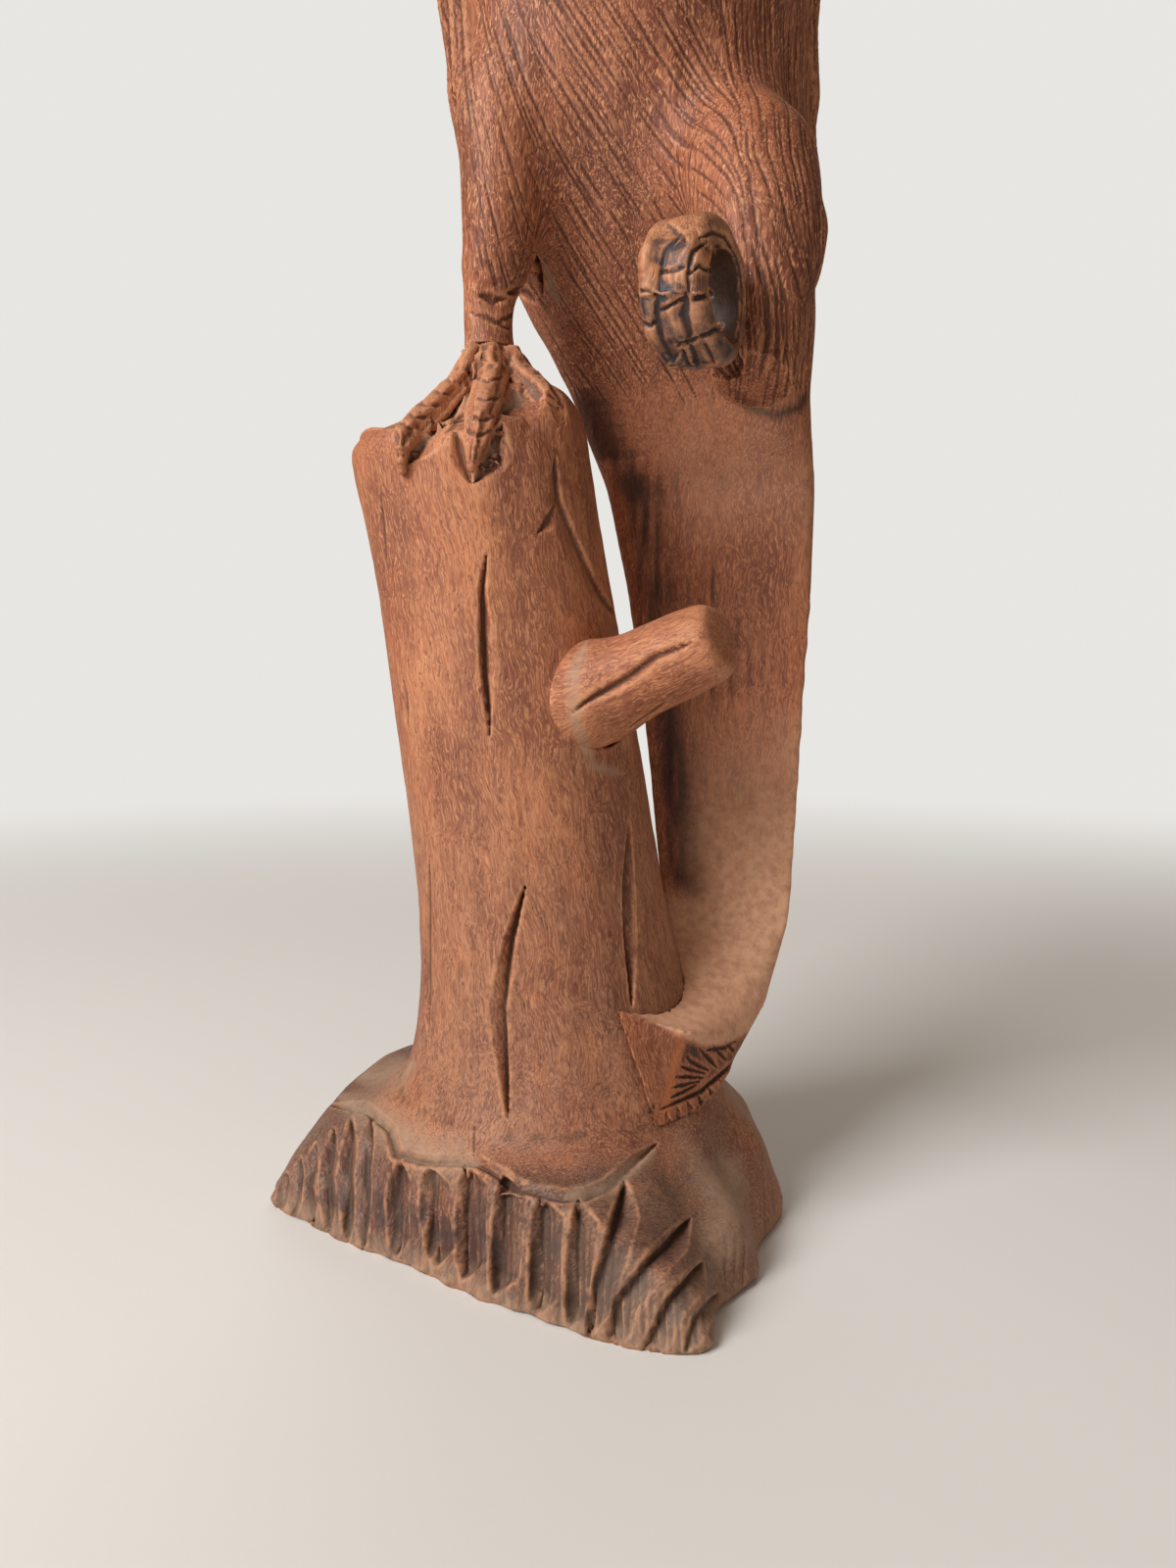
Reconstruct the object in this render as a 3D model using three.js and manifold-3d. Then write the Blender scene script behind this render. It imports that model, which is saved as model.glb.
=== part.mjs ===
// A carved wooden bird that stands on one leg on a tree stump, with its other foot clenched.
// Millimetres, +Z up. The origin is the centre of the flat underside, and the bird faces -Y.

import * as THREE from 'three';
import Module from 'manifold-3d';

const wasm = await Module();
wasm.setup();

// Fit of the glued pieces
const glueGap = 0.3;

// Root base
const baseHalfWidth = 64;
const baseHalfDepth = 71;
const rimHeight = 24;
const rimLean = 6;
const seatHeight = 30;
const gougePitch = 9;
const gougeDepth = 1.6;

// Stump
const stumpHeight = 159;
const stumpTopRadius = 27;
const stumpTaper = 3;
const stumpFlare = 10;
const stumpFlareHeight = 20;
const stumpFootX = 7.5;
const stumpLean = 22;
const stumpTopTilt = 5.5;
const stumpCrownRise = 15.5;
const crownRound = 1.2;
const cutWidth = 3.2;
const cutDepth = 2.6;

// Branch stub
const branchHeight = 96;
const branchRootRadius = 11.8;
const branchEndRadius = 8.2;
const branchLength = 33;
const branchSocketDepth = 9;

// Gripping foot
const perchOffsetX = 5;
const perchOffsetY = -3;
const perchPadRadius = 7.5;
const footHeight = 3;
const toeRadius = 3.3;
const clawLength = 13;

// Standing leg
const ankleRadius = 6.2;
const ankleLength = 10;
const thighLength = 48;
const thighRadius = 11;
const ankleBackset = 1.2;

// Torso
const torsoHeight = 172;
const chestHalfWidth = 42.5;
const chestHalfDepth = 40;
const torsoBack = 14;
const cuffAboveSeam = 17;

// Folded wings
const wingThickness = 6.5;
const wingSink = 1.5;
const wingTopDrop = 9;
const wingTipRise = 5;
const featherStep = 1.3;

// Lifted leg and clenched foot
const liftedThighRadius = 14.5;
const cuffRadius = 8.8;
const shankRadius = 4.6;
const fistOuterRadius = 15.5;
const fistHoleRadius = 7.8;
const fistToeWidth = 4.2;
const fistForward = 62;
const fistInward = 11;
const fistTurn = 24;
const fistRise = 3;

// Head
const headHalfWidth = 27;
const headHalfDepth = 30;
const headHeight = 69;
const headTurn = 14;
const beakLength = 26;
const beakRadius = 10;
const eyeRadius = 4.6;

// Tail
const tailHalfWidth = 27.7;
const tailEndHalfWidth = 15.5;
const tailThickness = 11;
const tailScoop = 4;
const tailSwing = 8;
const tailSkinClearance = 1;
const tailJointHeight = 66;
const tipWidth = 41;
const tipDrop = 28;

// Hidden dowels
const stumpDowelRadius = 6;
const stumpDowelLength = 40;
const stumpDowelSpread = 17;
const ankleDowelRadius = 2.4;
const ankleDowelLength = 22;
const tailDowelRadius = 5;
const tailDowelLength = 30;
const neckDowelRadius = 7;
const neckDowelLength = 36;
const wingDowelRadius = 3.5;
const wingDowelLength = 18;

const finishes = {
  wood: { color: 0x965a41, roughness: 0.7, metalness: 0 },
  darkWood: { color: 0x57423a, roughness: 0.55, metalness: 0 },
  paleWood: { color: 0xc39a68, roughness: 0.75, metalness: 0 },
  eyeWood: { color: 0x1f1512, roughness: 0.25, metalness: 0 },
};

// Small helpers

const vec = (x, y, z) => new THREE.Vector3(x, y, z);
const radians = THREE.MathUtils.degToRad;
const mix = THREE.MathUtils.lerp;
const smooth = THREE.MathUtils.smoothstep;

function centroid(points) {
  const sum = vec(0, 0, 0);
  points.forEach((point) => sum.add(point));
  return sum.divideScalar(points.length);
}

function solidFrom(points, faces) {
  let volume = 0;
  for (const [a, b, c] of faces) {
    volume += points[a].dot(vec(0, 0, 0).crossVectors(points[b], points[c]));
  }
  const outward = volume > 0 ? faces : faces.map(([a, b, c]) => [a, c, b]);
  const vertProperties = new Float32Array(points.flatMap((point) => point.toArray()));
  const triVerts = new Uint32Array(outward.flat());
  return new wasm.Manifold(new wasm.Mesh({ numProp: 3, vertProperties, triVerts }));
}

function quadStrip(first, second, count) {
  const faces = [];
  for (let i = 0; i < count; i += 1) {
    const next = (i + 1) % count;
    faces.push([first + i, first + next, second + next], [first + i, second + next, second + i]);
  }
  return faces;
}

// A closed skin through rings of points, with a fan over each end
function loft(rings) {
  const count = rings[0].length;
  const points = rings.flat();
  const faces = [];
  for (let k = 0; k + 1 < rings.length; k += 1) {
    faces.push(...quadStrip(k * count, (k + 1) * count, count));
  }
  const start = points.push(centroid(rings[0])) - 1;
  const end = points.push(centroid(rings.at(-1))) - 1;
  const lastRing = (rings.length - 1) * count;
  for (let i = 0; i < count; i += 1) {
    const next = (i + 1) % count;
    faces.push([start, next, i], [end, lastRing + i, lastRing + next]);
  }
  return solidFrom(points, faces);
}

// A closed skin through rings whose last ring joins the first again
function closedLoop(rings) {
  const count = rings[0].length;
  const faces = rings.flatMap((ring, k) => quadStrip(k * count, ((k + 1) % rings.length) * count, count));
  return solidFrom(rings.flat(), faces);
}

function ellipse(centre, right, up, halfRight, halfUp, count) {
  return Array.from({ length: count }, (_, i) => {
    const angle = (2 * Math.PI * i) / count;
    return centre.clone()
      .addScaledVector(right, halfRight * Math.cos(angle))
      .addScaledVector(up, halfUp * Math.sin(angle));
  });
}

const flatEllipse = (x, y, z, halfX, halfY, count) =>
  ellipse(vec(x, y, z), vec(1, 0, 0), vec(0, 1, 0), halfX, halfY, count);

// Round sections along a path; each radius is a number or a pair [sideways, upwards]
function sweep(path, radii, count, grow = 0, side = vec(1, 0, 0)) {
  const last = path.length - 1;
  const rings = path.map((point, k) => {
    const before = path[Math.max(k - 1, 0)];
    const after = path[Math.min(k + 1, last)];
    const along = after.clone().sub(before).normalize();
    const up = vec(0, 0, 0).crossVectors(along, side).normalize();
    const right = vec(0, 0, 0).crossVectors(up, along).normalize();
    const [halfRight, halfUp] = Array.isArray(radii[k]) ? radii[k] : [radii[k], radii[k]];
    let push = 0;
    if (k === 0) push = -grow;
    if (k === last) push = grow;
    const centre = point.clone().addScaledVector(along, push);
    return ellipse(centre, right, up, halfRight + grow, halfUp + grow, count);
  });
  return loft(rings);
}

function dowel(from, to, radius, grow = 0) {
  return sweep([from, to], [radius, radius], 14, grow, vec(0.3, 0.9, 0.2).normalize());
}

function cutBy(solid, ...cutters) {
  return cutters.reduce((rest, cutter) => rest.subtract(cutter), solid);
}

const group = new THREE.Group();

function addPiece(name, solid, finish) {
  const mesh = solid.getMesh();
  const geometry = new THREE.BufferGeometry();
  geometry.setAttribute('position', new THREE.BufferAttribute(new Float32Array(mesh.vertProperties), 3));
  geometry.setIndex(new THREE.BufferAttribute(new Uint32Array(mesh.triVerts), 1));
  geometry.computeVertexNormals();
  const piece = new THREE.Mesh(geometry, new THREE.MeshStandardMaterial(finish));
  piece.name = name;
  group.add(piece);
}

// Stump: its axis leans to the left, and its top slopes up to the pad under the ankle

const stumpTopZ = seatHeight + stumpHeight;

function stumpAxisX(z) {
  const share = (z - seatHeight) / stumpHeight;
  return stumpFootX - stumpLean * (0.69 * share + 0.31 * share * share);
}

function stumpRadius(z) {
  const share = (z - seatHeight) / stumpHeight;
  const flare = stumpFlare * Math.exp((seatHeight - z) / stumpFlareHeight);
  return stumpTopRadius + stumpTaper * (1 - share) + flare;
}

function stumpSkin(angle, z, clearance = 0) {
  const reach = stumpRadius(z) + clearance;
  return vec(stumpAxisX(z) + reach * Math.cos(angle), reach * Math.sin(angle), z);
}

const perch = vec(stumpAxisX(stumpTopZ) + perchOffsetX, perchOffsetY, stumpTopZ + stumpCrownRise);

// A point on the sloping top, from its outer corner (0) to the edge of the pad (1)
function crownPoint(angle, share) {
  const corner = stumpSkin(angle, stumpTopZ, -0.08 * stumpTopRadius);
  corner.z += stumpTopTilt * Math.cos(angle);
  const pad = perch.clone().add(vec(Math.cos(angle), Math.sin(angle), 0).multiplyScalar(perchPadRadius));
  corner.lerp(pad, share);
  corner.z += crownRound * Math.sin(Math.PI * share);
  return corner;
}

function stumpSolid(grow = 0) {
  const count = 36;
  const angles = Array.from({ length: count }, (_, i) => (2 * Math.PI * i) / count);
  const rings = [];
  const sideShares = [0, 0.02, 0.05, 0.1, 0.18, 0.3, 0.45, 0.6, 0.75, 0.88, 0.96];
  for (const share of sideShares) {
    const z = seatHeight + glueGap + (stumpHeight - glueGap) * share;
    const tilt = stumpTopTilt * smooth(share, 0.8, 0.98);
    const drop = share === 0 ? grow : 0;
    rings.push(angles.map((angle) => {
      const point = stumpSkin(angle, z, grow);
      point.z += tilt * Math.cos(angle) - drop;
      return point;
    }));
  }
  for (const share of [0, 0.3, 0.65, 1]) {
    rings.push(angles.map((angle) => {
      const point = crownPoint(angle, share);
      const spread = share === 1 ? 0 : grow;
      point.x += spread * Math.cos(angle);
      point.y += spread * Math.sin(angle);
      point.z += grow;
      return point;
    }));
  }
  return loft(rings);
}

// A long boat-shaped cut down the bark, wide in its middle
function barkCut(angle, fromZ, toZ, slant = 0) {
  const shares = [0, 0.2, 0.5, 0.8, 1];
  const rings = shares.map((share) => {
    const z = mix(fromZ, toZ, share);
    const swell = Math.max(Math.sin(Math.PI * share), 0.08);
    const turn = angle + slant * share;
    const out = vec(Math.cos(turn), Math.sin(turn), 0);
    const across = vec(-Math.sin(turn), Math.cos(turn), 0);
    const middle = stumpSkin(turn, z, 0.6);
    return [
      middle.clone().addScaledVector(across, 0.5 * cutWidth * swell),
      middle.clone().addScaledVector(out, -(cutDepth * swell + 0.6)),
      middle.clone().addScaledVector(across, -0.5 * cutWidth * swell),
      middle.clone().addScaledVector(out, 0.8),
    ];
  });
  return loft(rings);
}

const barkCuts = [
  { angle: -83, from: 0.82, to: 0.55, slant: 2 },
  { angle: -94, from: 0.34, to: 0.03, slant: -13 },
  { angle: -37, from: 0.42, to: 0.15, slant: -17 },
  { angle: -143, from: 0.37, to: 0.09, slant: -3 },
  { angle: -43, from: 0.92, to: 0.71, slant: 30 },
  { angle: 150, from: 0.9, to: 0.5, slant: 5 },
  { angle: 110, from: 0.6, to: 0.2, slant: -6 },
  { angle: 60, from: 0.85, to: 0.45, slant: 6 },
  { angle: 190, from: 0.5, to: 0.15, slant: 4 },
].map((cut) => barkCut(
  radians(cut.angle),
  seatHeight + stumpHeight * cut.from,
  seatHeight + stumpHeight * cut.to,
  radians(cut.slant),
));

// Root base: its outline as shares of the half width and half depth, with the rim's height and lean there
const rootOutline = [
  [0.58, -0.99, 0.5, 1], [0.64, -0.8, 0.5, 1], [0.8, -0.61, 0.6, 1], [0.82, -0.46, 0.66, 1],
  [0.97, -0.16, 0.8, 1], [0.93, 0.25, 0.95, 1.2], [0.72, 0.62, 1, 1.3], [0.32, 0.9, 1, 1.3],
  [-0.15, 0.97, 1, 1.3], [-0.58, 0.84, 0.98, 1.4], [-0.84, 0.56, 0.95, 1.6], [-0.98, 0.22, 0.88, 1.9],
  [-1, -0.11, 0.84, 2], [-0.74, -0.33, 0.98, 1.3], [-0.36, -0.58, 1.04, 1], [0, -0.82, 1, 1],
  [0.34, -0.98, 0.8, 1],
];
const outlineCurve = (heightOf) => new THREE.CatmullRomCurve3(
  rootOutline.map(([x, y, rim, lean]) => vec(x * baseHalfWidth, y * baseHalfDepth, heightOf(rim, lean))),
  true,
);
const rimCurve = outlineCurve((rim) => rim * rimHeight);
const leanCurve = outlineCurve((rim, lean) => lean * rimLean);

function rootBase(grow = 0) {
  const gouges = Math.round(rimCurve.getLength() / gougePitch);
  const count = 4 * gouges;
  const seatRadius = stumpRadius(seatHeight);
  const spokes = Array.from({ length: count }, (_, i) => {
    const rim = rimCurve.getPointAt(i / count);
    const lean = leanCurve.getPointAt(i / count).z;
    const reach = vec(rim.x - stumpFootX, rim.y, 0);
    const ungouged = 1 - smooth(rim.z, 0.7 * rimHeight, 0.92 * rimHeight);
    const groove = [0, 0.5, 1, 0.5][i % 4] * gougeDepth * (1 - ungouged);
    return { rim, lean, length: reach.length(), way: reach.normalize(), groove };
  });
  const ringAt = (leanShare, inset, heightOf, grooveShare) => spokes.map((spoke) => {
    const distance = spoke.length - leanShare * spoke.lean - inset - spoke.groove * grooveShare + grow;
    const z = heightOf(spoke.rim.z) + (leanShare > 0.9 ? grow : 0);
    return vec(stumpFootX + spoke.way.x * distance, spoke.way.y * distance, z);
  });
  const moundRing = (share, sag) => spokes.map(({ rim, lean, length, way }) => {
    const distance = mix(length - lean - 3, seatRadius, share) + grow;
    const z = mix(rim.z + 1, seatHeight, share) - sag;
    return vec(stumpFootX + way.x * distance, way.y * distance, z + grow);
  });
  return loft([
    ringAt(0, 1, () => -grow, 0.4),
    ringAt(0, 0, () => 1.6, 1),
    ringAt(0.45, 0, (rim) => rim * 0.55, 1.15),
    ringAt(1, 0, (rim) => rim - 1, 1),
    moundRing(0, 0),
    moundRing(0.5, 1.2),
    moundRing(1, 0),
  ]);
}

const stumpDowels = [-1, 1].map((side) => (grow) => {
  const x = stumpFootX + side * stumpDowelSpread;
  const half = stumpDowelLength / 2;
  return dowel(vec(x, 0, seatHeight - half), vec(x, 0, seatHeight + half), stumpDowelRadius, grow);
});

// Branch stub: points right, up and forward out of a socket in the stump
const branchRoot = stumpSkin(radians(-42), seatHeight + branchHeight);
const branchWay = vec(0.78, -0.52, 0.37).normalize();

function branchStub(grow = 0) {
  const stations = [
    [-branchSocketDepth, branchRootRadius], [0, branchRootRadius], [0.35, 0.9], [0.7, 0.8], [0.92, 0.75],
    [0.985, 0.62], [1, 0.4],
  ];
  const path = stations.map(([at], k) => {
    const distance = k < 2 ? at : at * branchLength;
    return branchRoot.clone().addScaledVector(branchWay, distance);
  });
  const ends = [1, 1, 0.93, 0.99, 1, 0.86, 0.55];
  const radii = stations.map(([at], k) => {
    const share = k < 2 ? 0 : at;
    return mix(branchRootRadius, branchEndRadius, share) * ends[k];
  });
  return sweep(path, radii, 20, grow, vec(0.3, 0.95, 0));
}

// Gripping foot: a low core on the pad and four toes that lie down the sloping top
const footTop = perch.z + glueGap + footHeight;

function toe(angle, reach = 1) {
  const lifted = (point, lift) => point.add(vec(0, 0, lift));
  const out = vec(Math.cos(angle), Math.sin(angle), 0);
  const corner = crownPoint(angle, 0);
  const claw = (drop, push) => corner.clone().addScaledVector(out, push).add(vec(0, 0, -drop));
  const path = [
    vec(perch.x, perch.y, perch.z + 1.4),
    lifted(crownPoint(angle, 1), 0.25 * toeRadius),
    lifted(crownPoint(angle, 1 - 0.4 * reach), 0.3 * toeRadius),
    lifted(crownPoint(angle, 1 - 0.8 * reach), 0.3 * toeRadius),
    claw(0, 0.6 * toeRadius),
    claw(0.35 * clawLength, 0.85 * toeRadius),
    claw(0.75 * clawLength, 0.75 * toeRadius),
    claw(clawLength, 0.62 * toeRadius),
  ];
  const shares = [0.95, 1, 0.93, 1.02, 0.86, 0.66, 0.42, 0.16];
  const sideways = vec(-out.y, out.x, 0);
  return sweep(path, shares.map((share) => share * toeRadius), 8, 0, sideways);
}

function perchFoot() {
  const coreRing = (share, radius) =>
    flatEllipse(perch.x, perch.y, perch.z + glueGap + share * footHeight, radius, radius, 24);
  const core = loft([
    coreRing(0, perchPadRadius),
    coreRing(0.6, 1.14 * ankleRadius),
    coreRing(1, 1.06 * ankleRadius),
  ]);
  return [-115, -75, -36, 95].reduce((foot, angle) => foot.add(toe(radians(angle))), core);
}

const ankleDowel = (grow) => {
  const middle = footTop - 2;
  return dowel(
    vec(perch.x, perch.y, middle - ankleDowelLength / 2),
    vec(perch.x, perch.y, middle + ankleDowelLength / 2),
    ankleDowelRadius,
    grow,
  );
};

// Torso: sections from the tail joint up to the neck joint. Each row holds its height share, how far
// its centre stands to the right and to the back, and its half width and half depth as shares.
const torsoSeamZ = footTop + ankleLength - cuffAboveSeam;
const torsoX = perch.x - ankleRadius - ankleBackset + chestHalfWidth;
const torsoTopZ = torsoSeamZ + torsoHeight;
const torsoSections = [
  { at: 0, right: 14.5, back: 10, width: 0.73, depth: 0.33 },
  { at: 0.1, right: 10, back: 8.5, width: 0.85, depth: 0.5 },
  { at: 0.2, right: 5, back: 6, width: 0.93, depth: 0.67 },
  { at: 0.32, right: 2, back: 3.5, width: 0.95, depth: 0.82 },
  { at: 0.48, right: 0, back: 0, width: 0.97, depth: 0.94 },
  { at: 0.64, right: -1.5, back: -2, width: 1, depth: 1 },
  { at: 0.8, right: -3, back: -3, width: 1, depth: 0.99 },
  { at: 0.92, right: -3, back: -4.5, width: 0.86, depth: 0.86 },
  { at: 1, right: -3, back: -7, width: 0.62, depth: 0.66 },
];

function torsoSection(z) {
  const share = THREE.MathUtils.clamp((z - torsoSeamZ) / torsoHeight, 0, 1);
  const upper = Math.max(torsoSections.findIndex((row) => row.at >= share), 1);
  const low = torsoSections[upper - 1];
  const high = torsoSections[upper];
  const blend = (share - low.at) / (high.at - low.at);
  return {
    x: torsoX + mix(low.right, high.right, blend),
    y: torsoBack + mix(low.back, high.back, blend),
    halfWidth: chestHalfWidth * mix(low.width, high.width, blend),
    halfDepth: chestHalfDepth * mix(low.depth, high.depth, blend),
  };
}

function torsoSolid(grow = 0) {
  const rings = torsoSections.map(({ at }, k) => {
    const z = torsoSeamZ + at * torsoHeight;
    const { x, y, halfWidth, halfDepth } = torsoSection(z);
    let push = 0;
    if (k === 0) push = -grow;
    if (k === torsoSections.length - 1) push = grow;
    return flatEllipse(x, y, z + push, halfWidth + grow, halfDepth + grow, 44);
  });
  return loft(rings);
}

// Standing leg: bare ankle, feather cuff and thigh, let into the torso's front
const legFoot = footTop + glueGap;

function standingLeg(grow = 0) {
  const hip = torsoSection(legFoot + ankleLength + thighLength);
  const hipX = hip.x - hip.halfWidth + 0.95 * thighRadius;
  const stations = [
    { at: 0, over: 0, side: 1.06, deep: 1.06 }, { at: 2, over: 0, side: 1, deep: 1 },
    { at: 0.7 * ankleLength, over: 0.02, side: 0.95, deep: 0.95 },
    { at: ankleLength, over: 0.08, side: 1.1, deep: 1.1 },
    { at: ankleLength + 1.5, over: 0.14, side: 1.38, deep: 1.35 },
    { at: ankleLength + 6, over: 0.3, side: 1.5, deep: 1.5 },
  ];
  const path = stations.map(({ at, over }) => vec(mix(perch.x, hipX, over), perch.y, legFoot + at));
  const radii = stations.map(({ side, deep }) => [ankleRadius * side, ankleRadius * deep]);
  const thighStations = [
    { share: 0.35, sink: 0, fullness: 0.95 },
    { share: 0.65, sink: 0, fullness: 1.02 },
    { share: 1, sink: 0.15, fullness: 1.06 },
    { share: 1.25, sink: 0.5, fullness: 0.85 },
    { share: 1.42, sink: 0.9, fullness: 0.4 },
  ];
  for (const { share, sink, fullness } of thighStations) {
    const inward = sink * thighRadius;
    path.push(vec(
      mix(perch.x, hipX, Math.min(0.3 + 0.7 * share, 1)) + 0.5 * inward,
      perch.y + 2 * share + inward,
      legFoot + ankleLength + thighLength * share,
    ));
    radii.push([thighRadius * fullness, thighRadius * fullness * 1.1]);
  }
  return sweep(path, radii, 20, grow);
}

// Lifted leg: its thigh hangs forward from the torso's right, and ends in a cuff behind the clenched foot
const liftedHip = vec(
  torsoX + 0.468 * chestHalfWidth,
  torsoBack - 0.38 * chestHalfDepth,
  torsoSeamZ + 0.3 * torsoHeight,
);
const fistAxis = vec(Math.cos(radians(fistTurn)), -Math.sin(radians(fistTurn)), 0);
const fistBack = vec(Math.sin(radians(fistTurn)), Math.cos(radians(fistTurn)), 0);
const fistCentre = vec(liftedHip.x - fistInward, torsoBack - fistForward, torsoSeamZ + fistRise);
const shankStart = fistCentre.clone().addScaledVector(fistBack, 0.8 * fistOuterRadius).add(vec(0, 0, -2));
const cuffEnd = fistCentre.clone()
  .addScaledVector(fistBack, fistOuterRadius + 3)
  .add(vec(6.5, 0, -4));

function liftedThigh(grow = 0) {
  const path = [
    liftedHip.clone().add(vec(-4, 12, 22)),
    liftedHip.clone().add(vec(-1, 5, 12)),
    liftedHip,
    liftedHip.clone().lerp(cuffEnd, 0.3).add(vec(2.5, -4, 4)),
    liftedHip.clone().lerp(cuffEnd, 0.6).add(vec(3.5, -4, 3)),
    liftedHip.clone().lerp(cuffEnd, 0.85).add(vec(2, -1, 0)),
    cuffEnd,
  ];
  const radii = [0.4, 0.8, 1, 1.03, 0.95, 0.76].map((share) => share * liftedThighRadius).concat(cuffRadius);
  return sweep(path, radii, 20, grow);
}

function shank(grow = 0) {
  const end = cuffEnd.clone().lerp(liftedHip, 0.2);
  const path = [shankStart, shankStart.clone().lerp(end, 0.35), end];
  return sweep(path, [0.72 * shankRadius, shankRadius, shankRadius], 14, grow, vec(0, 0, 1));
}

// The clenched foot: three toes side by side, curled round a hollow that opens to the right
function fistRing() {
  const steps = 30;
  const halfWidth = 1.5 * fistToeWidth;
  const profile = [];
  for (let j = 0; j <= 9; j += 1) {
    const valley = j % 3 === 0 ? 1 : 0;
    const rim = j === 0 || j === 9 ? 1.6 : 0;
    profile.push({ out: 0.7 * valley + rim, inner: false, along: mix(-halfWidth, halfWidth, j / 9) });
  }
  for (const end of [1, -1]) profile.push({ out: 0, inner: true, along: end * 0.96 * halfWidth });
  const rings = Array.from({ length: steps }, (_, k) => {
    const angle = (2 * Math.PI * k) / steps;
    const way = fistBack.clone().multiplyScalar(Math.cos(angle)).add(vec(0, 0, Math.sin(angle)));
    const knuckle = k % 3 === 0 ? 0.55 : 0;
    return profile.map(({ out, inner, along }) => {
      const radius = inner ? fistHoleRadius : fistOuterRadius - out - knuckle;
      return fistCentre.clone().addScaledVector(way, radius).addScaledVector(fistAxis, along);
    });
  });
  return closedLoop(rings);
}

// Folded wings: plates on the torso's sides, in three rows of stepped feathers, narrowing to the tips
function wing(side) {
  const topZ = torsoTopZ - wingTopDrop;
  const tipZ = torsoSeamZ + wingTipRise;
  const shares = [0, 0.05, 0.13, 0.24, 0.34, 0.35, 0.47, 0.59, 0.6, 0.72, 0.85, 0.95, 1];
  const half = 12;
  const rings = shares.map((share) => {
    const z = mix(topZ, tipZ, share);
    const section = torsoSection(z);
    const front = mix(-28, 36, smooth(share, 0.32, 0.92)) - 10 * smooth(share, 0, 0.2);
    const rear = 73 + 12 * smooth(share, 0, 0.12) - 15 * smooth(share, 0.85, 1);
    const taper = Math.min(0.6 + 3 * share, 1, 0.35 + 5 * (1 - share));
    const row = (share * 3) % 1.0;
    const plate = wingThickness * taper - featherStep * (1 - row);
    const outer = [];
    const inner = [];
    for (let i = 0; i <= half; i += 1) {
      const across = i / half;
      const turn = radians(mix(front, rear, across));
      const rounded = Math.pow(Math.max(Math.sin(Math.PI * mix(0.04, 0.96, across)), 0), 0.45);
      const at = (offset) => vec(
        section.x + side * (section.halfWidth + offset) * Math.cos(turn),
        section.y + (section.halfDepth + offset) * Math.sin(turn),
        z,
      );
      outer.push(at(plate * rounded));
      inner.unshift(at(-wingSink));
    }
    return [...outer, ...inner];
  });
  return loft(rings);
}

function wingDowel(side, grow = 0) {
  const z = mix(torsoSeamZ, torsoTopZ, 0.8);
  const { x, y, halfWidth } = torsoSection(z);
  const outer = x + side * (halfWidth + wingThickness * 0.45);
  return dowel(vec(outer - side * wingDowelLength, y, z), vec(outer, y, z), wingDowelRadius, grow);
}

// Head: turned a little, with a hooked beak in two pieces and inlaid eyes
const neck = torsoSection(torsoTopZ);
const headZ = torsoTopZ + glueGap;
const headAxis = vec(neck.x, neck.y - 5, 0);

function turned(solidPoints) {
  const centre = vec(headAxis.x, headAxis.y, 0);
  return solidPoints.map((point) => point.clone().sub(centre)
    .applyAxisAngle(vec(0, 0, 1), radians(headTurn)).add(centre));
}

function headSolid(grow = 0) {
  const sections = [
    { at: 0, front: -5, width: neck.halfWidth, depth: neck.halfDepth },
    { at: 0.16, front: -2, width: 0.97 * headHalfWidth, depth: 0.93 * headHalfDepth },
    { at: 0.36, front: 0, width: headHalfWidth, depth: 0.98 * headHalfDepth },
    { at: 0.56, front: 1, width: 0.98 * headHalfWidth, depth: headHalfDepth },
    { at: 0.74, front: 0, width: 0.86 * headHalfWidth, depth: 0.89 * headHalfDepth },
    { at: 0.88, front: -3, width: 0.63 * headHalfWidth, depth: 0.66 * headHalfDepth },
    { at: 0.96, front: -5, width: 0.37 * headHalfWidth, depth: 0.4 * headHalfDepth },
    { at: 1, front: -6, width: 0.12 * headHalfWidth, depth: 0.14 * headHalfDepth },
  ];
  return loft(sections.map(({ at, front, width, depth }) =>
    flatEllipse(headAxis.x, headAxis.y - front, headZ + at * headHeight, width + grow, depth + grow, 36)));
}

const faceY = headAxis.y - headHalfDepth;
const beakZ = headZ + 0.5 * headHeight;

function upperBeak(grow = 0) {
  const path = turned([
    vec(headAxis.x, faceY + 9, beakZ + 3),
    vec(headAxis.x, faceY - 1, beakZ + 4),
    vec(headAxis.x, faceY - 0.45 * beakLength, beakZ + 1),
    vec(headAxis.x, faceY - 0.8 * beakLength, beakZ - 7),
    vec(headAxis.x, faceY - 0.93 * beakLength, beakZ - 14),
    vec(headAxis.x, faceY - 0.93 * beakLength, beakZ - 19),
  ]);
  const shares = [[1, 0.95], [1, 0.95], [0.78, 0.82], [0.5, 0.6], [0.28, 0.36], [0.08, 0.1]];
  return sweep(path, shares.map((pair) => pair.map((share) => share * beakRadius)), 16, grow);
}

function lowerBeak(grow = 0) {
  const path = turned([
    vec(headAxis.x, faceY + 8, beakZ - 8),
    vec(headAxis.x, faceY - 1, beakZ - 9),
    vec(headAxis.x, faceY - 0.35 * beakLength, beakZ - 11),
    vec(headAxis.x, faceY - 0.55 * beakLength, beakZ - 12),
  ]);
  const shares = [[0.7, 0.4], [0.7, 0.4], [0.52, 0.32], [0.22, 0.16]];
  return sweep(path, shares.map((pair) => pair.map((share) => share * beakRadius)), 14, grow);
}

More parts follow.
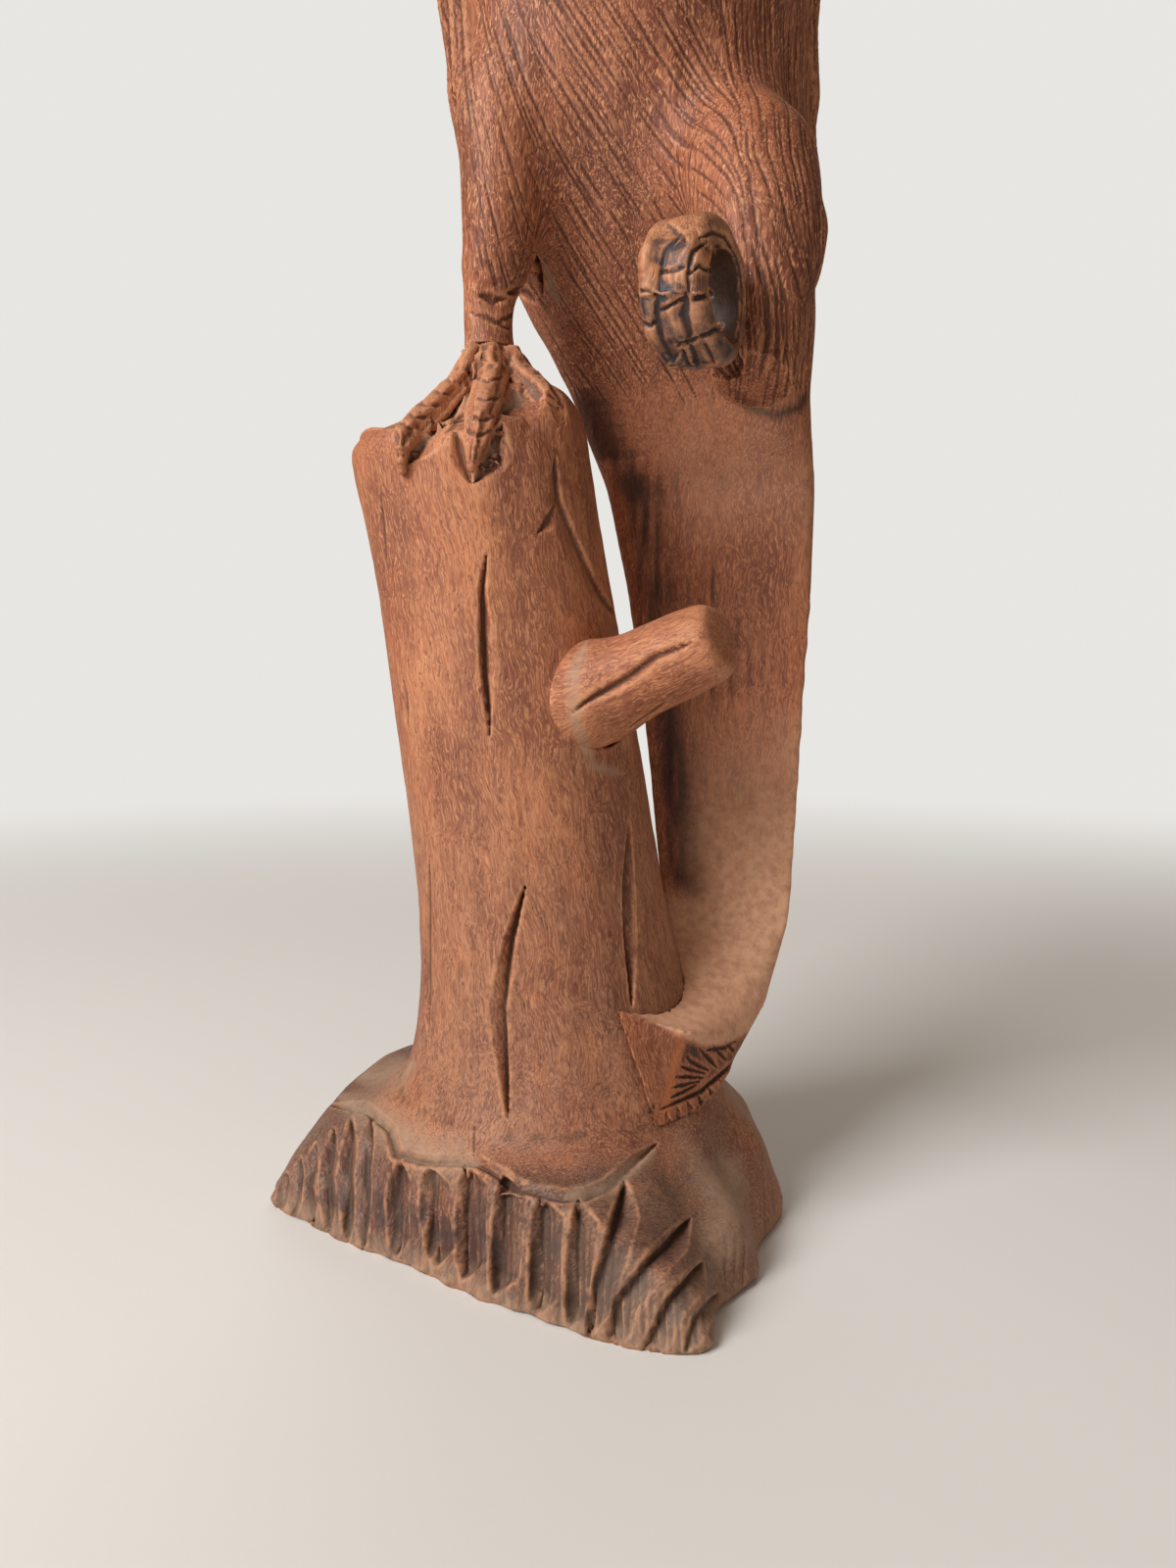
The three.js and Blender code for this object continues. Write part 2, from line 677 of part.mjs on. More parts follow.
function eye(side, grow = 0) {
  const turn = radians(-90 + side * 52);
  const z = headZ + 0.6 * headHeight;
  const at = (depth) => turned([vec(
    headAxis.x + (0.97 * headHalfWidth + depth) * Math.cos(turn),
    headAxis.y + (0.97 * headHalfDepth + depth) * Math.sin(turn),
    z,
  )])[0];
  const path = [at(-4), at(-0.5), at(1), at(1.8)];
  return sweep(path, [1, 1, 0.78, 0.35].map((share) => share * eyeRadius), 16, grow, vec(0, 0, 1));
}

const neckDowel = (grow) => dowel(
  vec(neck.x, neck.y, torsoTopZ - neckDowelLength / 2),
  vec(neck.x, neck.y, torsoTopZ + neckDowelLength / 2),
  neckDowelRadius,
  grow,
);

// Tail: hollow-fronted, hangs from the torso's underside and comes to lie against the stump.
// The inner edge of its lower end follows the stump's skin.

const tailSeam = torsoSection(torsoSeamZ);
const tailTopZ = torsoSeamZ - glueGap;

function tailSection(inner, outer, front, thickness, scoop, bluntness) {
  const count = 30;
  const centre = inner.clone().lerp(outer, 0.5);
  const across = outer.clone().sub(inner).multiplyScalar(0.5);
  return Array.from({ length: count }, (_, i) => {
    const angle = (2 * Math.PI * i) / count;
    const along = Math.cos(angle);
    const rise = Math.sign(Math.sin(angle)) * Math.pow(Math.abs(Math.sin(angle)), bluntness);
    const depth = 0.5 * thickness * rise - scoop * (1 - along * along);
    return centre.clone().addScaledVector(across, along).addScaledVector(front, depth);
  });
}

function tailRings(grow = 0) {
  const jointInner = stumpSkin(radians(18), tailJointHeight, tailSkinClearance);
  const jointCentre = jointInner.clone().add(vec(tailEndHalfWidth, 1, -1));
  const stations = [
    { share: 0, sway: 0, half: tailSeam.halfWidth, back: 0, thin: 0, scoop: 0, blunt: 1 },
    { share: 0.06, sway: 0.18, half: 1.08 * tailHalfWidth, back: 0.12, thin: 0.35, scoop: 0.25, blunt: 0.9 },
    { share: 0.17, sway: 0.6, half: tailHalfWidth, back: 0.6, thin: 0.74, scoop: 0.75, blunt: 0.75 },
    { share: 0.36, sway: 0.87, half: 0.89 * tailHalfWidth, back: 1, thin: 0.93, scoop: 1, blunt: 0.65 },
    { share: 0.54, sway: 0.94, half: 0.79 * tailHalfWidth, back: 1, thin: 1, scoop: 1, blunt: 0.6 },
    { share: 0.72, sway: 1, half: 0.71 * tailHalfWidth, back: 0.9, thin: 1, scoop: 1, blunt: 0.6 },
    { share: 0.86, sway: 1, half: 0.65 * tailHalfWidth, back: 0.62, thin: 1, scoop: 1, blunt: 0.6 },
    { share: 0.94, sway: 1, half: 0.61 * tailHalfWidth, back: 0.3, thin: 1, scoop: 1, blunt: 0.6 },
    { share: 1, sway: 1, half: tailEndHalfWidth, back: 0, thin: 1, scoop: 1, blunt: 0.6 },
  ];
  return stations.map(({ share, sway, half, back, thin, scoop, blunt }, k) => {
    const x = mix(tailSeam.x, jointCentre.x, sway);
    const y = mix(tailSeam.y, jointCentre.y, share) + tailSwing * back;
    const z = mix(tailTopZ, jointCentre.z, share);
    const pitch = radians(46) * smooth(share, 0.7, 1);
    const front = vec(0, -Math.cos(pitch), Math.sin(pitch));
    const thickness = mix(2 * tailSeam.halfDepth, tailThickness, thin);
    const push = k === 0 ? grow : 0;
    return tailSection(
      vec(x - half - grow, y, z + push),
      vec(x + half + grow, y, z + push),
      front,
      thickness + 2 * grow,
      scoop * tailScoop,
      blunt,
    );
  });
}

// The end block: grows from the tail's last section to a slanting prow in front of the stump
function tailTip() {
  const start = tailRings().at(-1).map((point) => point.clone().add(vec(0, -glueGap, -glueGap)));
  const left = stumpSkin(radians(-63), seatHeight + 26, tailSkinClearance);
  const right = left.clone().add(vec(33, 21, -13).normalize().multiplyScalar(tipWidth));
  const prow = left.clone().lerp(right, 0.42).add(vec(3, -6, -1));
  const keel = left.clone().add(vec(10, -5, -tipDrop));
  const prowLine = new THREE.CatmullRomCurve3([right, prow, left], false, 'catmullrom', 0.2);
  const underLine = new THREE.CatmullRomCurve3([left, left.clone().lerp(keel, 0.55), keel,
    keel.clone().lerp(right, 0.5).add(vec(2, 1, -3)), right], false, 'catmullrom', 0.35);
  const count = start.length;
  const end = start.map((_, i) => {
    const share = (2 * i) / count;
    return share <= 1 ? prowLine.getPoint(share) : underLine.getPoint(share - 1);
  });
  const rings = [0, 0.2, 0.4, 0.6, 0.8, 1].map((share) => start.map((point, i) => {
    const blended = point.clone().lerp(end[i], share);
    blended.z -= 4.5 * Math.sin(Math.PI * share);
    return blended;
  }));
  return loft(rings);
}

const tailDowel = (grow) => dowel(
  vec(tailSeam.x, tailSeam.y, torsoSeamZ - tailDowelLength / 2),
  vec(tailSeam.x, tailSeam.y, torsoSeamZ + tailDowelLength / 2),
  tailDowelRadius,
  grow,
);

// Assembly: each piece is cut by what it is glued to, with the glue gap between them

addPiece('root_base', cutBy(rootBase(), ...stumpDowels.map((make) => make(glueGap))), finishes.wood);
addPiece(
  'stump',
  cutBy(
    stumpSolid(),
    ...barkCuts,
    ...stumpDowels.map((make) => make(glueGap)),
    branchStub(glueGap),
    ankleDowel(glueGap),
  ),
  finishes.wood,
);
addPiece('stump_dowel_left', stumpDowels[0](0), finishes.paleWood);
addPiece('stump_dowel_right', stumpDowels[1](0), finishes.paleWood);
addPiece('branch_stub', branchStub(), finishes.wood);
addPiece(
  'perch_foot',
  cutBy(perchFoot(), stumpSolid(glueGap), ankleDowel(glueGap), standingLeg(glueGap)),
  finishes.wood,
);
addPiece('ankle_dowel', ankleDowel(0), finishes.paleWood);
addPiece('perch_leg', cutBy(standingLeg(), ankleDowel(glueGap)), finishes.wood);
addPiece(
  'body',
  cutBy(
    torsoSolid(),
    standingLeg(glueGap),
    liftedThigh(glueGap),
    tailDowel(glueGap),
    neckDowel(glueGap),
    wingDowel(1, glueGap),
    wingDowel(-1, glueGap),
  ),
  finishes.wood,
);
addPiece('raised_thigh', cutBy(liftedThigh(), shank(glueGap)), finishes.wood);
addPiece('clenched_foot', cutBy(fistRing(), liftedThigh(glueGap)).add(shank()), finishes.darkWood);
for (const [name, side] of [['left_wing', 1], ['right_wing', -1]]) {
  addPiece(
    name,
    cutBy(
      wing(side),
      torsoSolid(glueGap),
      standingLeg(glueGap),
      liftedThigh(glueGap),
      wingDowel(side, glueGap),
    ),
    finishes.wood,
  );
  addPiece(`${name}_dowel`, wingDowel(side), finishes.paleWood);
}
addPiece(
  'head',
  cutBy(
    headSolid(),
    upperBeak(glueGap),
    lowerBeak(glueGap),
    eye(1, glueGap),
    eye(-1, glueGap),
    neckDowel(glueGap),
  ),
  finishes.wood,
);
addPiece('neck_dowel', neckDowel(0), finishes.paleWood);
addPiece('upper_beak', upperBeak(), finishes.darkWood);
addPiece('lower_beak', cutBy(lowerBeak(), upperBeak(glueGap)), finishes.darkWood);
addPiece('left_eye', eye(1), finishes.eyeWood);
addPiece('right_eye', eye(-1), finishes.eyeWood);
addPiece('tail', cutBy(loft(tailRings()), tailDowel(glueGap), stumpSolid(glueGap)), finishes.wood);
addPiece('tail_dowel', tailDowel(0), finishes.paleWood);
addPiece('tail_tip', cutBy(tailTip(), stumpSolid(glueGap), rootBase(glueGap)), finishes.wood);

export default group;
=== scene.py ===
"""Looks of a carved wooden bird that stands on one leg on a leaning tree stump.

Every piece keeps the place of the solid that it stands for. Lengths are in metres, +Z is up and the bird
faces -Y. Tool marks that the photograph shows are placed by its pixels, on the surface that they cut.
"""

import logging
import math
from dataclasses import dataclass, replace
from enum import Enum
from typing import Callable

import bpy
import numpy as np
from mathutils import Matrix, Vector, kdtree


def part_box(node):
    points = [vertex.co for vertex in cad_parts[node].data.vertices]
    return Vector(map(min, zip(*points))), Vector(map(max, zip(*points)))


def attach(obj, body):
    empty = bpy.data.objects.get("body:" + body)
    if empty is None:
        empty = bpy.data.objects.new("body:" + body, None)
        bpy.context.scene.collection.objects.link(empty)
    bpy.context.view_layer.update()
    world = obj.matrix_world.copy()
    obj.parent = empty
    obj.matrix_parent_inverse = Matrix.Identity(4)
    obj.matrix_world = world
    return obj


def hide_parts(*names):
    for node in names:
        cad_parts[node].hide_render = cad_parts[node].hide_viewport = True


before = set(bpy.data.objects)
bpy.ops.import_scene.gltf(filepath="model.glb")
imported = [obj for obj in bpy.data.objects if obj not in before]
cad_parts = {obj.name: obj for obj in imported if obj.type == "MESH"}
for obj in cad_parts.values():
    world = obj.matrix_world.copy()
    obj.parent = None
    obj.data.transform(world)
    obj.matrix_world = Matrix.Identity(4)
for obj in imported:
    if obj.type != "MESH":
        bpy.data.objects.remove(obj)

log = logging.getLogger("bird")

ROOT = "root"
MM = 0.001
MOST_TRIANGLES = 192_000
ANKLE_DROP = 3.3 * MM
Array = np.ndarray
Pixel = tuple[float, float]
Table = tuple[tuple[float, float], ...]


class Slot(Enum):
    """The material slots of the record."""

    CARVED = "carved_wood"
    DARK = "dark_wood"
    EYE = "eye_wood"
    DOWEL = "dowel_wood"


class Layer(Enum):
    """The values that a carved mesh holds at its points for its finish."""

    # painted shade: darkens creases, cuts and the places marked as shaded
    HOLLOW = "hollow"
    RIDGE = "ridge"
    DUST = "dust"
    STAIN = "stain"
    RAW = "raw"
    # grey: real weathering on the base's rim, and painted shade that darkens the stump towards the bottom
    GREY = "grey"
    GRAIN = "grain"


@dataclass(frozen=True)
class PhotoCamera:
    """The camera of the photograph, in the frame of the part."""

    width: int = 1200
    height: int = 1600
    focal_pixels: float = 1202.0
    sensor: float = 36.0
    place: tuple[float, float, float] = (0.014, -0.285, 0.1327)
    pitch: float = math.radians(5.9)

    def project(self, points: Array) -> tuple[Array, Array, Array]:
        """Finds where points show in the photograph.

        Args:
            points: rows of x, y and z.

        Returns:
            The pixel columns, the pixel rows and the metres that one pixel spans there.
        """
        away = points - np.array(self.place)
        forward = np.array([0, math.cos(self.pitch), -math.sin(self.pitch)])
        up = np.array([0, math.sin(self.pitch), math.cos(self.pitch)])
        depth = away @ forward
        column = self.width / 2 + self.focal_pixels * away[:, 0] / depth
        row = self.height / 2 - self.focal_pixels * (away @ up) / depth
        return column, row, depth / self.focal_pixels

    def add(self) -> None:
        """Adds the camera to the scene."""
        data = bpy.data.cameras.new("photo_camera")
        data.sensor_width = self.sensor
        data.lens = self.focal_pixels * self.sensor / self.height
        data.clip_start = 0.01
        camera = bpy.data.objects.new("photo_camera", data)
        camera.location = self.place
        camera.rotation_euler = (math.pi / 2 - self.pitch, 0, 0)
        bpy.context.scene.collection.objects.link(camera)
        bpy.context.scene.camera = camera


PHOTO = PhotoCamera()


def smoothstep(low: float, high: float, value: Array) -> Array:
    """Rises smoothly from 0 at low to 1 at high, or falls where high is the lower one."""
    share = np.clip((value - low) / (high - low), 0, 1)
    return share * share * (3 - 2 * share)


def read_table(table: Table, value: Array) -> Array:
    """Reads a table of pairs at each value."""
    return np.interp(value, *zip(*table))


def hashed(*whole: Array, seed: int = 0) -> Array:
    """Gives each combination of whole numbers its own value from 0 to 1."""
    mixed = np.full(np.broadcast(*whole).shape, seed * 7919 + 17, np.uint64)
    for number, prime in zip(whole, (73856093, 19349663, 83492791)):
        mixed ^= np.asarray(number, np.int64).astype(np.uint64) * np.uint64(prime)
        mixed ^= mixed >> np.uint64(15)
        mixed *= np.uint64(0x2C1B3C6D)
        mixed &= np.uint64(0xFFFFFFFF)
    mixed ^= mixed >> np.uint64(12)
    return (mixed & np.uint64(0xFFFFFF)).astype(float) / 0xFFFFFF


def noise(points: Array, size: float | tuple[float, float, float], seed: int = 0) -> Array:
    """Smooth random values from -1 to 1.

    Args:
        points: rows of x, y and z.
        size: how far apart the random values lie, alike or along each axis.
        seed: picks the random values.

    Returns:
        One value for each point.
    """
    place = points / np.asarray(size, float)
    cell = np.floor(place)
    part = place - cell
    part = part * part * (3 - 2 * part)
    cell = cell.astype(np.int64)
    total = np.zeros(len(points))
    for dx in (0, 1):
        for dy in (0, 1):
            for dz in (0, 1):
                weight = (
                    np.abs(1 - dx - part[:, 0]) * np.abs(1 - dy - part[:, 1]) * np.abs(1 - dz - part[:, 2])
                )
                total += weight * hashed(cell[:, 0] + dx, cell[:, 1] + dy, cell[:, 2] + dz, seed=seed)
    return 2 * total - 1


def look(piece: bpy.types.Object) -> None:
    """Selects one piece alone and makes it the active one."""
    bpy.ops.object.select_all(action="DESELECT")
    piece.select_set(True)
    bpy.context.view_layer.objects.active = piece


def apply_modifier(piece: bpy.types.Object, kind: str, **settings: object) -> None:
    """Adds a modifier with its settings and applies it."""
    look(piece)
    modifier = piece.modifiers.new(kind.lower(), kind)
    for name, value in settings.items():
        setattr(modifier, name, value)
    bpy.ops.object.modifier_apply(modifier=modifier.name)


def copy_node(node: str, name: str) -> bpy.types.Object:
    """Copies the solid of a node, with its loose triangles merged.

    Args:
        node: the node's name.
        name: the name of the copy.

    Returns:
        The copy, at the origin.
    """
    piece = bpy.data.objects.new(name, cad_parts[node].data.copy())
    piece.data.materials.clear()
    bpy.context.scene.collection.objects.link(piece)
    look(piece)
    bpy.ops.object.mode_set(mode="EDIT")
    bpy.ops.mesh.select_all(action="SELECT")
    bpy.ops.mesh.remove_doubles(threshold=1e-6)
    bpy.ops.object.mode_set(mode="OBJECT")
    return piece


def spread(values: Array, ends: Array, rounds: int, share: Array | float) -> Array:
    """Spreads values along edges, so that each point takes part of its neighbours' mean.

    Args:
        values: one value or row for each point.
        ends: the two points of each edge.
        rounds: how many times it is done.
        share: how much a point takes each time, one number or one for each point.

    Returns:
        The spread values.
    """
    count = len(values)
    first, second = ends[:, 0], ends[:, 1]
    neighbours = np.maximum(np.bincount(ends.ravel(), minlength=count), 1)[:, None]
    columns = values.reshape(count, -1)
    if not np.isscalar(share):
        share = share[:, None]
    for _ in range(rounds):
        sums = [
            np.bincount(first, column[second], count) + np.bincount(second, column[first], count)
            for column in columns.T
        ]
        columns = columns + share * (np.stack(sums, 1) / neighbours - columns)
    return columns.reshape(values.shape)


def read_rows(items: bpy.types.bpy_prop_collection, name: str) -> Array:
    """Reads a row of three numbers from each point or face of a mesh."""
    flat = np.zeros(len(items) * 3, np.float32)
    items.foreach_get(name, flat)
    return flat.reshape(-1, 3).astype(float)


class Skin:
    """The points of a carved mesh, moved by numbers and then written back."""

    def __init__(self, piece: bpy.types.Object) -> None:
        """Reads the points and edges of a piece."""
        self.mesh = piece.data
        self.count = len(self.mesh.vertices)
        self.points = read_rows(self.mesh.vertices, "co")
        ends = np.zeros(len(self.mesh.edges) * 2, np.int32)
        self.mesh.edges.foreach_get("vertices", ends)
        self.ends = ends.reshape(-1, 2)
        self.layers = {
            layer: np.zeros(self.count) for layer in (Layer.DUST, Layer.STAIN, Layer.RAW, Layer.GREY)
        }
        # painted shade: how far the finish darkens each point as if in shadow
        self.painted_shade = np.zeros(self.count)
        self.refresh()

    def refresh(self) -> None:
        """Writes the points, and reads the normal at each."""
        self.mesh.vertices.foreach_set("co", self.points.astype(np.float32).ravel())
        self.mesh.update()
        self.normals = read_rows(self.mesh.vertices, "normal")

    def blur(self, values: Array, rounds: int, share: Array | float = 0.5) -> Array:
        """Spreads values over the surface.

        Args:
            values: one value or row for each point.
            rounds: how many times each point takes from its neighbours.
            share: how much it takes each time, one number or one for each point.

        Returns:
            The blurred values.
        """
        return spread(values, self.ends, rounds, share)

    def round_facets(self, rounds: int) -> None:
        """Smooths facets away, and keeps true edges."""
        if not rounds:
            return
        steady = np.linalg.norm(self.blur(self.normals, 5), axis=1)
        bulge = np.sum((self.points - self.blur(self.points, 4)) * self.normals, axis=1)
        keep = self.blur(smoothstep(0.975, 0.93, steady) * (bulge > 0), 3)
        share = 0.55 * (1 - np.clip(1.6 * keep, 0, 1))
        self.points = self.blur(self.points, rounds, share)
        self.refresh()

    def fill_creases(self, where: Array, rounds: int, times: int) -> None:
        """Raises hollows until they are soft, and lowers nothing.

        Args:
            where: how far each point takes part, from 0 to 1.
            rounds: how wide a crease is filled each time.
            times: how often it is done.
        """
        used = where > 0
        order = np.cumsum(used) - 1
        ends = order[self.ends[used[self.ends].all(axis=1)]]
        for _ in range(times):
            shift = spread(self.points[used], ends, rounds, 0.8) - self.points[used]
            rising = np.sum(shift * self.normals[used], axis=1) > 0
            self.points[used] += shift * (where[used] * rising)[:, None]
            self.refresh()

    def push(self, height: Array) -> None:
        """Moves each point outwards by its height, in metres."""
        self.points = self.points + self.normals * height[:, None]
        self.refresh()

    def score(self, height: Array, full: float) -> None:
        """Cuts a skin and remembers where, so that its finish paints shade into the cuts.

        Args:
            height: how far each point moves outwards, in metres.
            full: the depth whose cuts are the darkest, in metres.
        """
        self.push(height)
        self.paint_shade(np.clip(-height / full, 0, 1))

    def paint_shade(self, values: Array) -> None:
        """Paints shade into the finish, as dark as in a cut where the values are 1, and nowhere lighter."""
        self.painted_shade = np.maximum(self.painted_shade, values)

    def cover(self, layer: Layer, values: Array) -> None:
        """Raises a layer to the given values."""
        self.layers[layer] = np.maximum(self.layers[layer], values)

    def facing(self) -> Array:
        """Says how far each point faces the photograph's camera, from 0 to 1."""
        away = np.array(PHOTO.place) - self.points
        away /= np.linalg.norm(away, axis=1)[:, None]
        return smoothstep(0.02, 0.2, np.sum(away * self.normals, axis=1))

    def finish(self, grain: Array) -> None:
        """Writes the points and what the finish reads.

        Args:
            grain: rows of millimetres across, through and along the grain.
        """
        self.refresh()
        fine = np.sum((self.blur(self.points, 3) - self.points) * self.normals, axis=1)
        broad = np.sum((self.blur(self.points, 25) - self.points) * self.normals, axis=1)
        # concave places and the painted shade make the hollow layer, which paints shade into creases and cuts
        relief = self.blur(fine / (0.05 * MM) + broad / (0.45 * MM), 1) + self.painted_shade
        self.layers[Layer.HOLLOW] = np.clip(relief, 0, 1)
        self.layers[Layer.RIDGE] = np.clip(-relief, 0, 1)
        for layer, values in self.layers.items():
            attribute = self.mesh.attributes.new(layer.value, "FLOAT", "POINT")
            attribute.data.foreach_set("value", np.clip(values, 0, 1).astype(np.float32))
        attribute = self.mesh.attributes.new(Layer.GRAIN.value, "FLOAT_VECTOR", "POINT")
        attribute.data.foreach_set("vector", grain.astype(np.float32).ravel())
        self.mesh.shade_smooth()


@dataclass(frozen=True)
class PhotoMark:
    """A cut or a patch along a line of photograph pixels, on the surface that faces the camera.

    Args:
        path: the pixels that it follows.
        width: its full width in the middle, in metres.
        depth: how deep a cut it is, in metres.
        taper: how much of each end narrows, as a share of its length.
        steep: how far its deepest line lies to one side, from -1 to 1.
    """

    path: tuple[Pixel, ...]
    width: float
    depth: float = 0.0
    taper: float = 0.3
    steep: float = 0.0

    def measure(self, points: Array) -> tuple[Array, Array, Array]:
        """Measures points against the path as the photograph shows it.

        Args:
            points: rows of x, y and z.

        Returns:
            The distance from the path in metres, the share of the path's length, and the side, -1 or 1.
        """
        column, row, span = PHOTO.project(points)
        spot = np.stack([column, row], 1)
        corners = np.array(self.path, float)
        lengths = np.linalg.norm(np.diff(corners, axis=0), axis=1)
        starts = np.concatenate([[0], np.cumsum(lengths)])
        nearest = np.full(len(points), 1e9)
        along = np.zeros(len(points))
        side = np.zeros(len(points))
        for start, end, before, length in zip(corners, corners[1:], starts, lengths):
            way = (end - start) / length
            offset = spot - start
            reach = np.clip(offset @ way, 0, length)
            gap = offset - reach[:, None] * way
            distance = np.linalg.norm(gap, axis=1)
            closer = distance < nearest
            nearest = np.where(closer, distance, nearest)
            along = np.where(closer, (before + reach) / starts[-1], along)
            side = np.where(closer, np.sign(way[0] * offset[:, 1] - way[1] * offset[:, 0]), side)
        return nearest * span, along, side

    def cover(self, skin: Skin) -> Array:
        """Says how far each point lies in the mark, from 0 at its rim to 1 on its line."""
        distance, along, side = self.measure(skin.points)
        narrow = np.clip(np.minimum(along, 1 - along) / max(self.taper, 1e-3), 0.02, 1) ** 0.7
        half = 0.5 * self.width * narrow * (1 + self.steep * side)
        return np.clip(1 - distance / half, 0, 1) * skin.facing()

    def cut(self, skin: Skin) -> Array:
        """Gives the height of the cut at each point, in metres."""
        return -self.depth * self.cover(skin)


Marks = tuple[PhotoMark, ...]


def mark_rows(*rows: tuple) -> Marks:
    """Makes marks from rows of a path, a width and a depth in millimetres, a taper and a steepness."""
    return tuple(PhotoMark(way, width * MM, depth * MM, *rest) for way, width, depth, *rest in rows)


def cut_marks(skin: Skin, marks: Marks, dark: float = 0.3) -> None:
    """Cuts several marks into a skin, each as deep as its own depth.

    Args:
        skin: the skin to cut.
        marks: the cuts.
        dark: how much painted shade darkens the finish in them, from 0 to 1.
    """
    height = np.zeros(skin.count)
    for mark in marks:
        height = np.minimum(height, mark.cut(skin))
    skin.push(height)
    skin.paint_shade(dark * np.clip(-height / (0.8 * MM), 0, 1))


def cover_marks(skin: Skin, marks: Marks, layer: Layer, most: float, fade: float = 0.65) -> None:
    """Lays several patches on a layer of a skin.

    Args:
        skin: the skin to cover.
        marks: the patches.
        layer: the layer that they lie on.
        most: how strong each is along its line.
        fade: above 1 for patches that fade from their line, below 1 for ones that are full to their rim.
    """
    for mark in marks:
        skin.cover(layer, most * mark.cover(skin) ** fade)


@dataclass(frozen=True)
class Gouges:
    """Many separate tapered cuts, side by side along a direction that changes from place to place.

    Args:
        spacing: the distance between cuts that run side by side, in metres.
        shortest: the length of the shortest cut, in metres.
        longest: the length of the longest cut, in metres.
        width: the width of a cut, in metres.
        depth: the depth of a cut, in metres.
    """

    spacing: float = 1.3 * MM
    shortest: float = 7 * MM
    longest: float = 38 * MM
    width: float = 1.05 * MM
    depth: float = 0.48 * MM

    def trace(
        self, low: Array, high: Array, lean: Callable[[Array], Array], seed: int
    ) -> tuple[Array, Array]:
        """Traces the cuts over a rectangle.

        Args:
            low: its least distance across and height.
            high: its greatest ones.
            lean: gives how far a cut moves across for each metre down, at rows of across and height.
            seed: picks the cuts' places and lengths.

        Returns:
            Rows of across and height along all cuts, and how strong the cut is at each.
        """
        random = np.random.default_rng(seed)
        drop = 0.42 * (self.shortest + self.longest)
        across, up = np.meshgrid(
            np.arange(low[0] - self.spacing, high[0] + self.spacing, self.spacing),
            np.arange(low[1], high[1] + 2 * drop, drop),
        )
        spot = np.stack([across.ravel(), up.ravel()], 1)
        spot = spot + random.uniform(-0.5, 0.5, spot.shape) * (0.55 * self.spacing, drop)
        length = random.uniform(self.shortest, self.longest, len(spot))
        force = random.uniform(0.3, 1.0, len(spot))
        stride = 0.25 * self.width
        places, sizes = [], []
        for index in range(int(self.longest / stride)):
            share = index * stride / length
            live = share < 1
            taper = np.clip(np.minimum(share / 0.25, (1 - share) / 0.4), 0, 1) ** 0.7
            places.append(spot[live])
            sizes.append((force * taper)[live])
            slope = lean(spot)
            spot = spot + np.stack([slope, -np.ones_like(slope)], 1) * (stride / np.hypot(slope, 1))[:, None]
        return np.concatenate(places), np.concatenate(sizes)

    def heights(self, places: Array, wanted: Array, lean: Callable[[Array], Array], seed: int) -> Array:
        """Gives the height of the cuts.

        Args:
            places: rows of across and height, one for each point of a skin.
            wanted: how strong the cuts are there, from 0 to 1.
            lean: gives how far a cut moves across for each metre down.
            seed: picks the cuts.

        Returns:
            Heights of 0 or less, in metres.
        """
        result = np.zeros(len(places))
        used = np.flatnonzero(wanted > 0.01)
        if not len(used):
            return result
        line, sizes = self.trace(places[used].min(0), places[used].max(0), lean, seed)
        tree = kdtree.KDTree(len(line))
        for index, (across, up) in enumerate(line.tolist()):
            tree.insert((across, up, 0.0), index)
        tree.balance()
        reach = 0.5 * self.width
        for index, (across, up) in zip(used.tolist(), places[used].tolist()):
            _, near, distance = tree.find((across, up, 0.0))
            if distance < reach:
                size = sizes[near]
                result[index] = -size * max(0.0, 1 - distance / (reach * (0.45 + 0.55 * size)))
        return self.depth * result * wanted


def strands(across: Array, along: Array, seed: int, sharp: float = 3.0) -> Array:
    """Side-by-side rounded strands with narrow cuts between them.

    Args:
        across: the distance across, in strands.
        along: the distance along the strands, in metres.
        seed: picks how deep each cut is.
        sharp: how narrow the cuts are.

    Returns:
        Heights from -1 in the cuts to 0 on the strands.
    """
    line = np.round(across)
    off = np.abs(across - line) * 2
    place = np.stack([line * 3.7, np.zeros_like(line), along / (9 * MM)], 1)
    strength = np.clip(0.62 + 0.55 * noise(place, 1.0, seed), 0, 1)
    return -strength * (1 - off) ** sharp


@dataclass(frozen=True)
class Tiles:
    """Rows of rounded feathers that overlap like roof tiles.

    Args:
        width: the width of a feather, in metres.
        step: how far each row's tips lie below the last, in metres.
        thickness: how far a tip stands above the row below it, in metres.
        barb: the distance between its barbs, in metres.
    """

    width: float
    step: float
    thickness: float
    barb: float = 1.1 * MM

    def heights(self, across: Array, down: Array, seed: int) -> Array:
        """Gives the height of the feathers' surface, in metres, at places across and down."""
        s = across / self.width
        t = down / self.step
        base = np.floor(t) - 1
        height = np.zeros_like(s)
        found = np.zeros(s.shape, bool)
        for k in range(3):
            row = base + k
            shift = 0.5 * (row % 2)
            cell = np.floor(s + shift)
            off = 2 * (s + shift - cell) - 1
            jitter = 0.16 * (hashed(row, cell, seed=seed) - 0.5)
            edge = row + 1.02 + jitter + 0.75 * np.sqrt(np.clip(1 - off * off, 0, 1))
            inside = (~found) & (t < edge)
            rise = np.clip((t - row + 0.4) / 2.2, 0, 1)
            shaft = np.exp(-((off / 0.09) ** 2)) * 0.22
            barbs = ((np.abs(off) * self.width * 0.5 + 0.75 * down) / self.barb) % 1.0
            groove = -0.24 * (1 - np.abs(2 * barbs - 1)) ** 2 * np.clip(np.abs(off) * 6 - 0.5, 0, 1)
            dome = 0.25 * (1 - off * off)
            height = np.where(inside, rise + shaft + dome + groove, height)
            found |= inside
        return self.thickness * height


